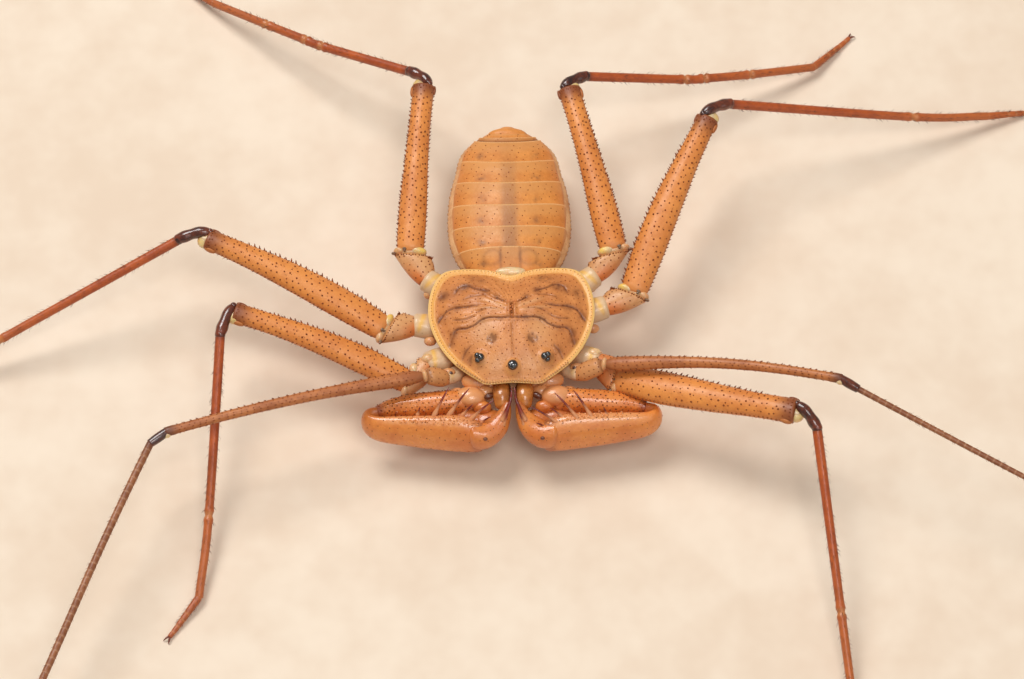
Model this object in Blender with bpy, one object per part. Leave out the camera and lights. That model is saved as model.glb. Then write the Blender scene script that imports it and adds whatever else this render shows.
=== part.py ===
# Baja tailless whipscorpion, a still life-size model standing on its six walking legs.
# The animal faces -Y, +X is its left side, and the floor is z = 0.
# Design sizes are in millimetres, and MM turns them into metres when a mesh is made.

import math
import random

import bmesh
import bpy
from mathutils import Vector

MM = 0.001
GAP = 0.28
OBJECT_NAME = "baja_tailless_whipscorpion"

# Carapace: a flat rim round a low dome
CARAPACE_CENTRE_Y = 1.0
CARAPACE_OUTLINE = (
    (0.0, -3.1), (1.2, -3.42), (2.2, -3.15), (3.5, -2.1), (4.55, -0.6), (5.1, 0.8),
    (5.25, 2.2), (4.95, 3.7), (4.25, 4.75), (3.0, 5.0), (1.4, 4.9), (0.0, 4.5),
)
CARAPACE_UNDER_Z = 4.35
CARAPACE_RIM_Z = 4.9
CARAPACE_DOME_RISE = 1.45
CARAPACE_EDGE_RISE = 0.25
CARAPACE_EDGE_UPPER = 0.2
CARAPACE_EDGE_LOWER = 0.15
CARAPACE_ROUND_SHARE = 0.985
RIM_SHARE = 0.86

# Under the carapace: the sternum with the coxae that spread from it
PROSOMA_TOP_Z = 4.05
PROSOMA_BOTTOM_Z = 2.2
PROSOMA_HALF_WIDTH = 3.5
PROSOMA_HALF_LENGTH = 3.45
COXA_RADIUS = 0.62
COXA_SHARES = ((0.7, 0.6), (1.0, 1.0), (1.0, 1.0), (0.82, 0.8))
COXA_ROOT_SHARE = 0.3
FEELER_COXA_RADIUS = 0.45

# Abdomen: nose to tail sizes and the rear edge of each back plate
ABDOMEN_FRONT_Y = 4.75
ABDOMEN_WIDEST_Y = 9.0
ABDOMEN_END_Y = 16.45
ABDOMEN_HALF_WIDTH = 3.87
ABDOMEN_TOPS = (4.85, 5.3, 5.35, 5.2, 4.85, 4.3, 3.35)
ABDOMEN_BOTTOMS = (2.7, 2.1, 1.75, 1.65, 1.7, 2.0, 2.6)
ABDOMEN_SEAM_SHARE = 0.45
# The narrow front end, as (distance from the front, share of the full section)
ABDOMEN_NECK = ((0.0, 0.36), (0.45, 0.42))
ABDOMEN_SHOULDER = (0.6, 0.93)
PLATE_EDGES_Y = (6.35, 7.8, 9.42, 11.2, 12.97, 14.85, 15.35, 15.95)
PLATE_STEP = 0.16

# Eyes
EYE_RADIUS = 0.34
MEDIAN_EYE = (0.0, -2.45)
LATERAL_EYE = (2.08, -1.85)
EYE_PAD_RISE = 0.3
EYE_PAD_RADII = (0.75, 0.42)
EYE_PAD_DEPTH = 0.3
# The three lenses of the left cluster, as (sideways, forwards or back, radius)
LATERAL_LENSES = ((0.0, 0.0, 0.24), (0.2, 0.12, 0.22), (0.06, -0.2, 0.2))

# Walking legs and feelers: the lengths of a pair's segments
LEG_LENGTHS = {
    2: {"trochanter": 1.7, "femur": 11.9, "patella": 1.8, "tibia": (11.5, 5.2), "tarsus": 3.1},
    3: {"trochanter": 1.9, "femur": 12.7, "patella": 1.9, "tibia": (13.1, 5.4), "tarsus": 3.5},
    4: {"trochanter": 2.0, "femur": 11.7, "patella": 1.6, "tibia": (7.0, 1.4, 3.4, 4.8), "tarsus": 3.6},
}
# Half width and half depth along each segment, as (share of the length, half width, half depth)
FEMUR_SECTIONS = {
    2: ((0.0, 0.55, 0.5), (0.07, 0.78, 0.6), (0.25, 0.9, 0.66), (0.5, 0.8, 0.64), (0.75, 0.67, 0.56),
        (0.93, 0.66, 0.54), (1.0, 0.54, 0.46)),
    3: ((0.0, 0.58, 0.5), (0.07, 0.9, 0.64), (0.25, 1.0, 0.7), (0.5, 0.93, 0.67), (0.75, 0.76, 0.59),
        (0.93, 0.68, 0.56), (1.0, 0.55, 0.47)),
    4: ((0.0, 0.58, 0.5), (0.07, 0.87, 0.62), (0.25, 0.88, 0.66), (0.5, 0.76, 0.61), (0.75, 0.68, 0.56),
        (0.93, 0.69, 0.55), (1.0, 0.55, 0.46)),
}
FEMUR_BOW = 0.25
FEMUR_REAR_BOW = {2: 0.2, 3: 0.17, 4: 0.05}
TROCHANTER_SECTIONS = ((0.0, 0.5, 0.48), (0.25, 0.7, 0.56), (0.7, 0.92, 0.6), (1.0, 0.72, 0.52))
PATELLA_SECTIONS = ((0.0, 0.5, 0.44), (0.3, 0.62, 0.52), (0.7, 0.58, 0.5), (1.0, 0.42, 0.4))
TIBIA_RADII = (0.32, 0.27)
TARSUS_RADII = (0.26, 0.24)
FOOT_END_Z = 0.12
SOLE_SHARE = 0.88
FOOT_TIP_SHARE = 0.7

# Each leg's base, then the heading and climb in degrees of trochanter, femur, patella, tibia and tarsus
LEG_POSE = {
    ("right", 2): ((-5.3, -1.1, 3.55), ((-130, -8), (159.5, 10.5), (-122, -3), (-94, -18), (-97, -15),
                                        (-125, -8))),
    ("left", 2): ((5.35, -1.15, 3.6), ((-48, -1), (-20.4, 13), (-42, -3), (-84, -19.5), (-84, -18),
                                        (-86, -8))),
    ("right", 3): ((-6.1, 1.64, 3.7), ((-162, 12), (153.5, 10), (178, -3), (-157.3, -17.5), (-156, -16),
                                       (-152, -8))),
    ("left", 3): ((5.95, 2.73, 3.7), ((22, 7), (65.5, 13.5), (39, -3), (7.5, -19.5), (11, -17), (13, -8.5))),
    ("right", 4): ((-5.31, 4.87, 3.8), ((123, 12), (85, 9), (124, -5), (149, -17), (144, -17), (143.5, -17),
                                        (142.5, -18), (138, -9))),
    ("left", 4): ((5.31, 4.97, 3.8), ((47, 13), (103, 8.5), (45.5, -5.5), (10, -19), (14.5, -18),
                                      (16.5, -17.5), (18.5, -17.5), (45.5, -6))),
}

NO_BOW = Vector((0.0, 0.0, 0.0))

# Feelers, the long first legs: trochanter, femur and patella, then two long whip lengths
FEELER_BASE = {"right": (-4.25, -2.45, 4.0), "left": (4.2, -2.3, 4.0)}
FEELER_LENGTHS = {"right": (1.5, 16.7, 1.2), "left": (1.7, 15.1, 1.2)}
FEELER_POSE = {
    "right": ((-168, 36), (-164.5, 4.5), (-143, -4)),
    "left": ((8, 31), (-11.1, 10.3), (-34, -4)),
}
FEELER_FEMUR_SECTIONS = ((0.0, 0.34, 0.34), (0.08, 0.44, 0.42), (0.4, 0.35, 0.34), (0.92, 0.29, 0.28),
                         (1.0, 0.27, 0.27))
FEELER_FEMUR_BOW = 0.3
FEELER_REAR_BOW = {"right": 0.15, "left": 0.4}
FEELER_TROCHANTER_SECTIONS = ((0.0, 0.4, 0.38), (0.4, 0.56, 0.5), (0.8, 0.52, 0.46), (1.0, 0.38, 0.36))
FEELER_PATELLA_SECTIONS = ((0.0, 0.27, 0.27), (0.5, 0.3, 0.29), (1.0, 0.26, 0.26))
WHIP_LENGTHS = {"tibia": 30.0, "tarsus": 27.0}
WHIP_HEADINGS = {"right": (-115, -112, -113, -106, -97, -90), "left": (-29, -28, -28, -31, -40, -52)}
WHIP_CLIMBS = {"right": (-8, -8, -6, -2, 1, 2), "left": (-8, -9, -9, -6, -3, 0)}
WHIP_RADII = {"right": (0.24, 0.23, 0.21, 0.13), "left": (0.19, 0.16, 0.15, 0.12)}
WHIP_STEP = 2.4

# Pedipalps, folded in front of the body: centre lines on the left side
PALP_TROCHANTER_PATH = ((1.9, -2.8, 3.05), (2.15, -3.3, 3.2), (2.8, -3.72, 3.38))
PALP_FEMUR_PATH = ((2.8, -3.72, 3.38), (4.4, -3.9, 3.38), (6.2, -3.98, 3.28), (7.5, -4.12, 3.15),
                   (8.35, -4.4, 3.05))
PALP_PATELLA_PATH = ((8.35, -4.4, 3.05), (9.05, -4.65, 3.0), (9.2, -5.15, 3.0), (8.5, -5.55, 3.0),
                     (7.0, -5.65, 3.05), (5.0, -5.78, 3.05), (3.4, -5.9, 3.05), (2.2, -6.15, 3.05))
PALP_TIBIA_PATH = ((2.2, -6.15, 3.05), (1.45, -6.2, 3.2), (0.92, -5.85, 3.5), (0.62, -5.35, 3.95))
PALP_CLAW_PATH = ((0.62, -5.35, 3.95), (0.5, -4.95, 4.55), (0.36, -4.4, 5.0), (0.24, -3.8, 5.3))
PALP_TROCHANTER_SIZES = ((0.5, 0.5), (0.6, 0.62), (0.5, 0.55))
PALP_FEMUR_SIZES = ((0.52, 0.54), (0.68, 0.74), (0.66, 0.72), (0.52, 0.62), (0.36, 0.52))
PALP_PATELLA_SIZES = ((0.36, 0.5), (0.36, 0.66), (0.42, 0.85), (0.52, 0.95), (0.64, 1.02), (0.74, 1.14),
                      (0.8, 1.2), (0.68, 0.98))
PALP_PATELLA_LEAN = 0.3
PALP_TIBIA_SIZES = ((0.66, 0.88), (0.64, 0.78), (0.52, 0.58), (0.3, 0.32))
PALP_CLAW_SIZES = ((0.25, 0.25), (0.21, 0.21), (0.16, 0.16), (0.06, 0.06))

# Spines and denticles: cones whose roots are sunk into the limb that carries them
SPINE_SIDES = 5
SPINE_TIP_RADIUS = 0.05
SPINE_ROOT_DEPTH = 0.3
# Pedipalp spines on the left side, as (foot on the surface, tip, foot radius)
PALP_PATELLA_SPINES = (
    ((4.84, -5.42, 4.12), (3.86, -4.12, 5.15), 0.22),
    ((3.92, -5.5, 4.15), (2.63, -4.28, 5.2), 0.22),
    ((3.07, -5.55, 4.1), (2.35, -5.05, 4.75), 0.2),
    ((2.66, -5.75, 4.0), (1.25, -4.95, 4.9), 0.22),
    ((2.9, -6.0, 3.85), (2.35, -5.75, 4.45), 0.2),
    ((5.9, -5.36, 4.0), (5.7, -5.0, 4.6), 0.2),
)
PALP_FEMUR_SPINES = (
    ((3.7, -4.05, 4.0), (3.45, -4.55, 4.5), 0.2),
    ((5.6, -4.2, 3.9), (5.4, -4.5, 4.4), 0.18),
)
PALP_TIBIA_SPINES = (((1.2, -5.95, 3.75), (1.2, -5.4, 4.4), 0.18),)
DENTICLES_PER_ROW = 9
DENTICLE_ROWS = (24.0, 156.0)
DENTICLE_SPAN = (0.14, 0.9)
DENTICLE_RADIUS = 0.22
DENTICLE_HEIGHTS = (0.26, 0.42)
DENTICLE_SHIFTS = (0.25, 0.75)
DENTICLE_LEAN = 0.35

# Chelicerae, the two blunt jaws between the pedipalps
CHELICERA_PATH = ((0.7, -2.7, 3.5), (0.74, -3.3, 3.55), (0.75, -3.9, 3.6), (0.74, -4.35, 3.45))
CHELICERA_SIZES = ((0.42, 0.42), (0.56, 0.6), (0.56, 0.74), (0.36, 0.45))
CHELICERA_BASE_RADIUS = 0.46
PALP_COXA_RADIUS = 0.6

SIDES = {"right": -1.0, "left": 1.0}
COLOURS = {
    "carapace": ((0.62, 0.27, 0.08), 0.45),
    "membrane": ((0.72, 0.6, 0.42), 0.5),
    "abdomen": ((0.66, 0.33, 0.11), 0.5),
    "leg": ((0.6, 0.24, 0.06), 0.45),
    "knee": ((0.09, 0.035, 0.02), 0.3),
    "shin": ((0.33, 0.1, 0.04), 0.4),
    "palp": ((0.42, 0.11, 0.04), 0.28),
    "claw": ((0.16, 0.03, 0.02), 0.25),
    "eye": ((0.01, 0.008, 0.008), 0.12),
}


def clear_scene():
    for item in list(bpy.data.objects):
        bpy.data.objects.remove(item, do_unlink=True)


def make_collection(name):
    collection = bpy.data.collections.new(name)
    bpy.context.scene.collection.children.link(collection)
    return collection


def make_material(name, finish):
    colour, roughness = COLOURS[finish]
    material = bpy.data.materials.new(name)
    material.use_nodes = True
    shader = material.node_tree.nodes["Principled BSDF"]
    shader.inputs["Base Color"].default_value = (*colour, 1.0)
    shader.inputs["Roughness"].default_value = roughness
    shader.inputs["Metallic"].default_value = 0.0
    return material


def direction(heading, climb):
    turn = math.radians(heading)
    rise = math.radians(climb)
    return Vector((math.cos(turn) * math.cos(rise), math.sin(turn) * math.cos(rise), math.sin(rise)))


def blend(values, share):
    """The value at a share of the way along evenly spaced values."""
    place = min(max(share, 0.0), 1.0) * (len(values) - 1)
    index = min(int(place), len(values) - 2)
    return values[index] + (values[index + 1] - values[index]) * (place - index)


def smooth_path(points, per_span):
    """Points of a Catmull-Rom curve through the given points."""
    points = [Vector(point) for point in points]
    ends = [2 * points[0] - points[1]] + points + [2 * points[-1] - points[-2]]
    path = []
    for index in range(len(points) - 1):
        before, here, there, after = ends[index:index + 4]
        for step in range(per_span):
            t = step / per_span
            path.append(0.5 * (2 * here + (there - before) * t
                               + (2 * before - 5 * here + 4 * there - after) * t * t
                               + (3 * here - before - 3 * there + after) * t ** 3))
    return path + [points[-1]]


def frames_along(path):
    """Tangent, level side direction and upper direction at each point of a path."""
    frames = []
    for index in range(len(path)):
        back = path[max(index - 1, 0)]
        ahead = path[min(index + 1, len(path) - 1)]
        tangent = (ahead - back).normalized()
        side = tangent.cross(Vector((0, 0, 1))).normalized()
        frames.append((tangent, side, side.cross(tangent)))
    return frames


def add_object(name, mesh, origin, finish, collection, root):
    mesh.materials.append(make_material(name, finish))
    mesh.shade_smooth()
    mesh.set_sharp_from_angle(angle=math.radians(45))
    item = bpy.data.objects.new(name, mesh)
    item.location = Vector(origin) * MM
    item.parent = root
    collection.objects.link(item)
    return item


def mesh_from_rings(name, rings, origin):
    """A closed mesh lofted through rings of equal count, with a flat face at each end."""
    builder = bmesh.new()
    origin = Vector(origin)
    rows = [[builder.verts.new((point - origin) * MM) for point in ring] for ring in rings]
    count = len(rows[0])
    for row, after in zip(rows, rows[1:]):
        for index in range(count):
            ahead = (index + 1) % count
            builder.faces.new((row[index], row[ahead], after[ahead], after[index]))
    builder.faces.new(reversed(rows[0]))
    builder.faces.new(rows[-1])
    bmesh.ops.recalc_face_normals(builder, faces=builder.faces)
    mesh = bpy.data.meshes.new(name)
    builder.to_mesh(mesh)
    builder.free()
    return mesh


def sweep_rings(path, sizes, sides, first_cut=None, last_cut=None, floor=None, lean=0.0):
    """Oval rings along a path, whose tops lean back by a share of their height.

    The end rings lean into the cut planes and keep half the gap from them.
    """
    frames = frames_along(path)
    tangents = (frames[0][0], frames[-1][0])
    cuts = (first_cut or tangents[0], last_cut or tangents[1])
    lengths = [0.0]
    for here, there in zip(path, path[1:]):
        lengths.append(lengths[-1] + (there - here).length)
    reach = lengths[-1] / 2
    rings = []
    for index, centre in enumerate(path):
        tangent, side, upper = frames[index]
        near_first = max(0.0, 1 - lengths[index] / reach)
        near_last = max(0.0, 1 - (lengths[-1] - lengths[index]) / reach)
        ring = []
        for turn in range(sides):
            angle = 2 * math.pi * (turn + 0.5) / sides
            offset = side * (sizes[index][0] * math.cos(angle)) + upper * (sizes[index][1] * math.sin(angle))
            offset.y += lean * offset.z
            lean_first = (GAP / 2 - offset.dot(cuts[0])) / tangents[0].dot(cuts[0])
            lean_last = (-GAP / 2 - offset.dot(cuts[1])) / tangents[1].dot(cuts[1])
            point = centre + offset + tangent * (lean_first * near_first + lean_last * near_last)
            if floor is not None:
                point.z = max(point.z, floor)
            ring.append(point)
        rings.append(ring)
    return rings


def make_spine(foot, tip, radius, root):
    """A slim cone from a root sunk below its foot to a blunt tip."""
    start = foot + (foot - tip).normalized() * SPINE_ROOT_DEPTH
    along = tip - start
    builder = bmesh.new()
    bmesh.ops.create_cone(builder, cap_ends=True, segments=SPINE_SIDES, radius1=radius * MM,
                          radius2=SPINE_TIP_RADIUS * MM, depth=along.length * MM)
    mesh = bpy.data.meshes.new("spine")
    builder.to_mesh(mesh)
    builder.free()
    spine = bpy.data.objects.new("spine", mesh)
    spine.rotation_mode = "QUATERNION"
    spine.rotation_quaternion = along.to_track_quat("Z", "Y")
    spine.location = (start + tip) / 2 * MM
    spine.parent = root
    return spine


def sections_at(sections, share):
    """Half width and half depth at a share of the length."""
    for (start, *first), (end, *last) in zip(sections, sections[1:]):
        if share <= end:
            part = (share - start) / (end - start)
            return [a + (b - a) * part for a, b in zip(first, last)]
    return sections[-1][1:]


def bow_between(start, end, upward, rearward):
    """How far the middle of a segment bends away from the line between its joints."""
    across = (end - start).cross(Vector((0, 0, 1))).normalized()
    if across.y < 0:
        across.negate()
    return across * rearward + Vector((0, 0, upward))


def denticles(start, end, sections, bow, draw, root):
    """Two rows of short cones along the edges of a straight segment, which lean towards its far end."""
    tangent = (end - start).normalized()
    side = tangent.cross(Vector((0, 0, 1))).normalized()
    upper = side.cross(tangent)
    low, high = DENTICLE_SPAN
    spines = []
    for row in DENTICLE_ROWS:
        angle = math.radians(row)
        for number in range(DENTICLES_PER_ROW):
            share = low + (high - low) * (number + draw.uniform(*DENTICLE_SHIFTS)) / DENTICLES_PER_ROW
            across, deep = sections_at(sections, share)
            centre = start.lerp(end, share) + bow * math.sin(math.pi * share)
            foot = centre + side * (across * math.cos(angle)) + upper * (deep * math.sin(angle))
            outward = (side * (math.cos(angle) / across) + upper * (math.sin(angle) / deep)).normalized()
            way = (outward + tangent * DENTICLE_LEAN).normalized()
            tip = foot + way * draw.uniform(*DENTICLE_HEIGHTS)
            spines.append(make_spine(foot, tip, DENTICLE_RADIUS, root))
    return spines


def straight_segment(name, start, end, sections, sides, cuts, finish, collection, root, bow=NO_BOW):
    """One limb segment from joint to joint, with a slight bow."""
    path = []
    sizes = []
    for share, half_width, half_depth in sections:
        path.append(start.lerp(end, share) + bow * math.sin(math.pi * share))
        sizes.append((half_width, half_depth))
    rings = sweep_rings(path, sizes, sides, *cuts)
    return add_object(name, mesh_from_rings(name, rings, start), start, finish, collection, root)


def between(before, after):
    """The normal of the plane that halves a bend."""
    return (before + after).normalized()


def carapace_outline(angle):
    """Distance from the carapace centre to its edge, at an angle from the nose."""
    centre = Vector((0.0, CARAPACE_CENTRE_Y))
    spokes = []
    for x, y in CARAPACE_OUTLINE:
        offset = Vector((x, y)) - centre
        spokes.append((math.atan2(offset.x, -offset.y), offset.length))
    for (low, near), (high, far) in zip(spokes, spokes[1:]):
        if angle <= high:
            share = (angle - low) / (high - low)
            share = share * share * (3 - 2 * share) * 0.4 + share * 0.6
            return near + (far - near) * share
    return spokes[-1][1]


def carapace_height(share):
    """Height of the upper surface at a share of the way from the centre to the edge."""
    if share >= RIM_SHARE:
        return CARAPACE_RIM_Z
    rise = math.cos(math.pi / 2 * share / RIM_SHARE) ** 0.9
    return CARAPACE_RIM_Z + CARAPACE_DOME_RISE * rise


def carapace_surface(x, y):
    """Height of the carapace above a point of its plan."""
    offset = Vector((x, y - CARAPACE_CENTRE_Y))
    angle = math.atan2(abs(offset.x), -offset.y)
    return carapace_height(offset.length / carapace_outline(angle))


def build_carapace(collection, root):
    builder = bmesh.new()
    bmesh.ops.create_uvsphere(builder, u_segments=44, v_segments=20, radius=1.0)
    for vert in builder.verts:
        x, y, z = vert.co
        share = min(math.hypot(x, y), 1.0)
        angle = math.atan2(abs(x), -y) if share > 1e-6 else 0.0
        reach = carapace_outline(angle) * share
        edge = CARAPACE_UNDER_Z + CARAPACE_EDGE_RISE
        if z > 1e-4:
            height = carapace_height(share)
            if share > CARAPACE_ROUND_SHARE:
                height = edge + CARAPACE_EDGE_UPPER
        elif z < -1e-4:
            height = CARAPACE_UNDER_Z
            if share > CARAPACE_ROUND_SHARE:
                height = edge - CARAPACE_EDGE_LOWER
        else:
            height = edge
        sign = math.copysign(1.0, x)
        vert.co = Vector((sign * reach * math.sin(angle), -reach * math.cos(angle), height)) * MM
    mesh = bpy.data.meshes.new("carapace")
    builder.to_mesh(mesh)
    builder.free()
    origin = (0.0, CARAPACE_CENTRE_Y, 0.0)
    carapace = add_object("carapace", mesh, origin, "carapace", collection, root)
    pads = []
    for x, y in (MEDIAN_EYE, LATERAL_EYE, (-LATERAL_EYE[0], LATERAL_EYE[1])):
        pads.append(eye_pad(x, y, root))
    fuse(carapace, pads)
    return carapace


def eye_pad_top(x, y):
    return carapace_surface(x, y) + EYE_PAD_RISE


def eye_pad(x, y, root):
    """A low flat-topped mound that carries an eye."""
    top = eye_pad_top(x, y)
    low = CARAPACE_RIM_Z - EYE_PAD_DEPTH
    builder = bmesh.new()
    bmesh.ops.create_cone(builder, cap_ends=True, segments=12, radius1=EYE_PAD_RADII[0] * MM,
                          radius2=EYE_PAD_RADII[1] * MM, depth=(top - low) * MM)
    mesh = bpy.data.meshes.new("eye_pad")
    builder.to_mesh(mesh)
    builder.free()
    pad = bpy.data.objects.new("eye_pad", mesh)
    pad.location = Vector((x, y, (top + low) / 2)) * MM
    pad.parent = root
    return pad


def fuse(item, pieces):
    """Joins closed meshes to an object with one union, and keeps its largest closed surface."""
    helper = bpy.data.collections.new("pieces_of_" + item.name)
    bpy.context.scene.collection.children.link(helper)
    for piece in pieces:
        helper.objects.link(piece)
    union = item.modifiers.new("union", "BOOLEAN")
    union.operation = "UNION"
    union.operand_type = "COLLECTION"
    union.collection = helper
    union.solver = "EXACT"
    bpy.context.view_layer.update()
    graph = bpy.context.evaluated_depsgraph_get()
    mesh = bpy.data.meshes.new_from_object(item.evaluated_get(graph))
    item.modifiers.remove(union)
    old = item.data
    item.data = mesh
    bpy.data.meshes.remove(old)
    for piece in pieces:
        bpy.data.objects.remove(piece, do_unlink=True)
    bpy.data.collections.remove(helper)
    keep_largest_surface(item)


def keep_largest_surface(item):
    builder = bmesh.new()
    builder.from_mesh(item.data)
    left = set(builder.faces)
    shells = []
    while left:
        shell = set()
        front = [left.pop()]
        while front:
            face = front.pop()
            shell.add(face)
            for edge in face.edges:
                for other in edge.link_faces:
                    if other in left:
                        left.remove(other)
                        front.append(other)
        shells.append(shell)
    shells.sort(key=lambda shell: sum(face.calc_area() for face in shell), reverse=True)
    loose = [vert for shell in shells[1:] for face in shell for vert in face.verts]
    bmesh.ops.delete(builder, geom=list(set(loose)), context="VERTS")
    builder.to_mesh(item.data)
    builder.free()


def build_prosoma(collection, root, coxa_ends):
    """The body under the carapace: a low oval with a coxa reaching to each limb."""
    builder = bmesh.new()
    bmesh.ops.create_uvsphere(builder, u_segments=24, v_segments=12, radius=1.0)
    middle = (PROSOMA_TOP_Z + PROSOMA_BOTTOM_Z) / 2
    half = (PROSOMA_TOP_Z - PROSOMA_BOTTOM_Z) / 2
    for vert in builder.verts:
        x, y, z = vert.co
        vert.co = Vector((x * PROSOMA_HALF_WIDTH, y * PROSOMA_HALF_LENGTH, z * half)) * MM
    mesh = bpy.data.meshes.new("prosoma")
    builder.to_mesh(mesh)
    builder.free()
    prosoma = add_object("prosoma", mesh, (0.0, CARAPACE_CENTRE_Y, middle), "membrane", collection, root)
    coxae = []
    for end, radius, cut in coxa_ends:
        root_y = CARAPACE_CENTRE_Y + (end.y - CARAPACE_CENTRE_Y) * COXA_ROOT_SHARE
        start = Vector((end.x * COXA_ROOT_SHARE, root_y, middle))
        path = [start, start.lerp(end, 0.5), start.lerp(end, 0.8), end]
        path[1].z = min(path[1].z, PROSOMA_TOP_Z - radius)
        path[2].z = min(path[2].z, PROSOMA_TOP_Z - radius)
        sizes = [(radius * wide, radius * deep) for wide, deep in COXA_SHARES]
        rings = sweep_rings(path, sizes, 12, last_cut=cut)
        coxa = bpy.data.objects.new("coxa", mesh_from_rings("coxa", rings, start))
        coxa.location = start * MM
        coxa.parent = root
        coxae.append(coxa)
    fuse(prosoma, coxae)
    return prosoma


def abdomen_half_width(y):
    if y >= ABDOMEN_WIDEST_Y:
        share = (y - ABDOMEN_WIDEST_Y) / (ABDOMEN_END_Y - ABDOMEN_WIDEST_Y)
    else:
        share = (ABDOMEN_WIDEST_Y - y) / (ABDOMEN_WIDEST_Y - ABDOMEN_FRONT_Y + 1.0)
    return ABDOMEN_HALF_WIDTH * math.sqrt(max(0.0, 1 - share ** 2.2))


def abdomen_top(y):
    share = (y - ABDOMEN_FRONT_Y) / (ABDOMEN_END_Y - ABDOMEN_FRONT_Y)
    return blend(ABDOMEN_TOPS, share)


def abdomen_bottom(y):
    share = (y - ABDOMEN_FRONT_Y) / (ABDOMEN_END_Y - ABDOMEN_FRONT_Y)
    return blend(ABDOMEN_BOTTOMS, share)


def abdomen_ring(y, lift, sides, shrink=1.0):
    """A ring across the abdomen, its back raised by lift."""
    half_width = abdomen_half_width(y) * shrink
    top = abdomen_top(y)
    bottom = abdomen_bottom(y)
    seam = bottom + (top - bottom) * ABDOMEN_SEAM_SHARE
    ring = []
    for turn in range(sides):
        angle = 2 * math.pi * turn / sides
        across = math.cos(angle)
        up = math.sin(angle)
        rise = (top - seam) * shrink if up > 0 else (seam - bottom) * shrink
        height = seam + rise * up
        if up > 0:
            height += lift * min(1.0, up * 2.5)
        ring.append(Vector((half_width * across, y, height)))
    return ring


def build_abdomen(collection, root):
    sides = 28
    rings = []
    for offset, shrink in ABDOMEN_NECK:
        ring = abdomen_ring(ABDOMEN_FRONT_Y + offset, 0.0, sides, shrink)
        for point in ring:
            point.z = min(point.z, PROSOMA_TOP_Z)
        rings.append(ring)
    offset, shrink = ABDOMEN_SHOULDER
    start = ABDOMEN_FRONT_Y + offset
    rings.append(abdomen_ring(start, 0.0, sides, shrink))
    for edge in PLATE_EDGES_Y:
        middle = (start + edge) / 2
        rings.append(abdomen_ring(middle, PLATE_STEP * 0.6, sides))
        rings.append(abdomen_ring(edge - 0.03, PLATE_STEP, sides))
        rings.append(abdomen_ring(edge + 0.05, 0.0, sides))
        start = edge
    rings.append(abdomen_ring(ABDOMEN_END_Y - 0.2, 0.05, sides))
    rings.append(abdomen_ring(ABDOMEN_END_Y - 0.04, 0.0, sides))
    origin = Vector((0.0, ABDOMEN_FRONT_Y, (PROSOMA_TOP_Z + PROSOMA_BOTTOM_Z) / 2))
    mesh = mesh_from_rings("abdomen", rings, origin)
    return add_object("abdomen", mesh, origin, "abdomen", collection, root)


def build_eye(name, x, y, lenses, collection, root):
    """A bead of one or more lenses, flat below, over its mound on the carapace."""
    base = Vector((x, y, eye_pad_top(x, y) + GAP))
    beads = []
    for offset_x, offset_y, radius in lenses:
        builder = bmesh.new()
        bmesh.ops.create_uvsphere(builder, u_segments=10, v_segments=6, radius=radius * MM)
        for vert in builder.verts:
            vert.co.z = max(vert.co.z, -0.02 * MM)
        mesh = bpy.data.meshes.new(name)
        builder.to_mesh(mesh)
        builder.free()
        flatten_base(mesh)
        beads.append((mesh, base + Vector((offset_x, offset_y, 0.0))))
    mesh, origin = beads[0]
    eye = add_object(name, mesh, origin, "eye", collection, root)
    others = []
    for mesh, origin in beads[1:]:
        other = bpy.data.objects.new(name + "_lens", mesh)
        other.location = origin * MM
        other.parent = root
        others.append(other)
    if others:
        fuse(eye, others)
    return eye


def flatten_base(mesh):
    """Closes a bead with one flat face where its lower half was pressed flat."""
    builder = bmesh.new()
    builder.from_mesh(mesh)
    low = min(vert.co.z for vert in builder.verts)
    bmesh.ops.bisect_plane(builder, geom=builder.verts[:] + builder.edges[:] + builder.faces[:],
                           plane_co=(0, 0, low + 0.01 * MM), plane_no=(0, 0, 1), clear_inner=True)
    bmesh.ops.holes_fill(builder, edges=[edge for edge in builder.edges if edge.is_boundary])
    bmesh.ops.recalc_face_normals(builder, faces=builder.faces)
    builder.to_mesh(mesh)
    builder.free()


def limb_joints(base, lengths, pose):
    """Joint points and unit directions of a limb's straight lengths."""
    joints = [Vector(base)]
    ways = []
    for length, (heading, climb) in zip(lengths, pose):
        way = direction(heading, climb)
        ways.append(way)
        joints.append(joints[-1] + way * length)
    return joints, ways


def coxa_way(base):
    """The level direction in which a coxa reaches a limb's base."""
    return Vector((base[0], base[1] - CARAPACE_CENTRE_Y, 0.0)).normalized()


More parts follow.
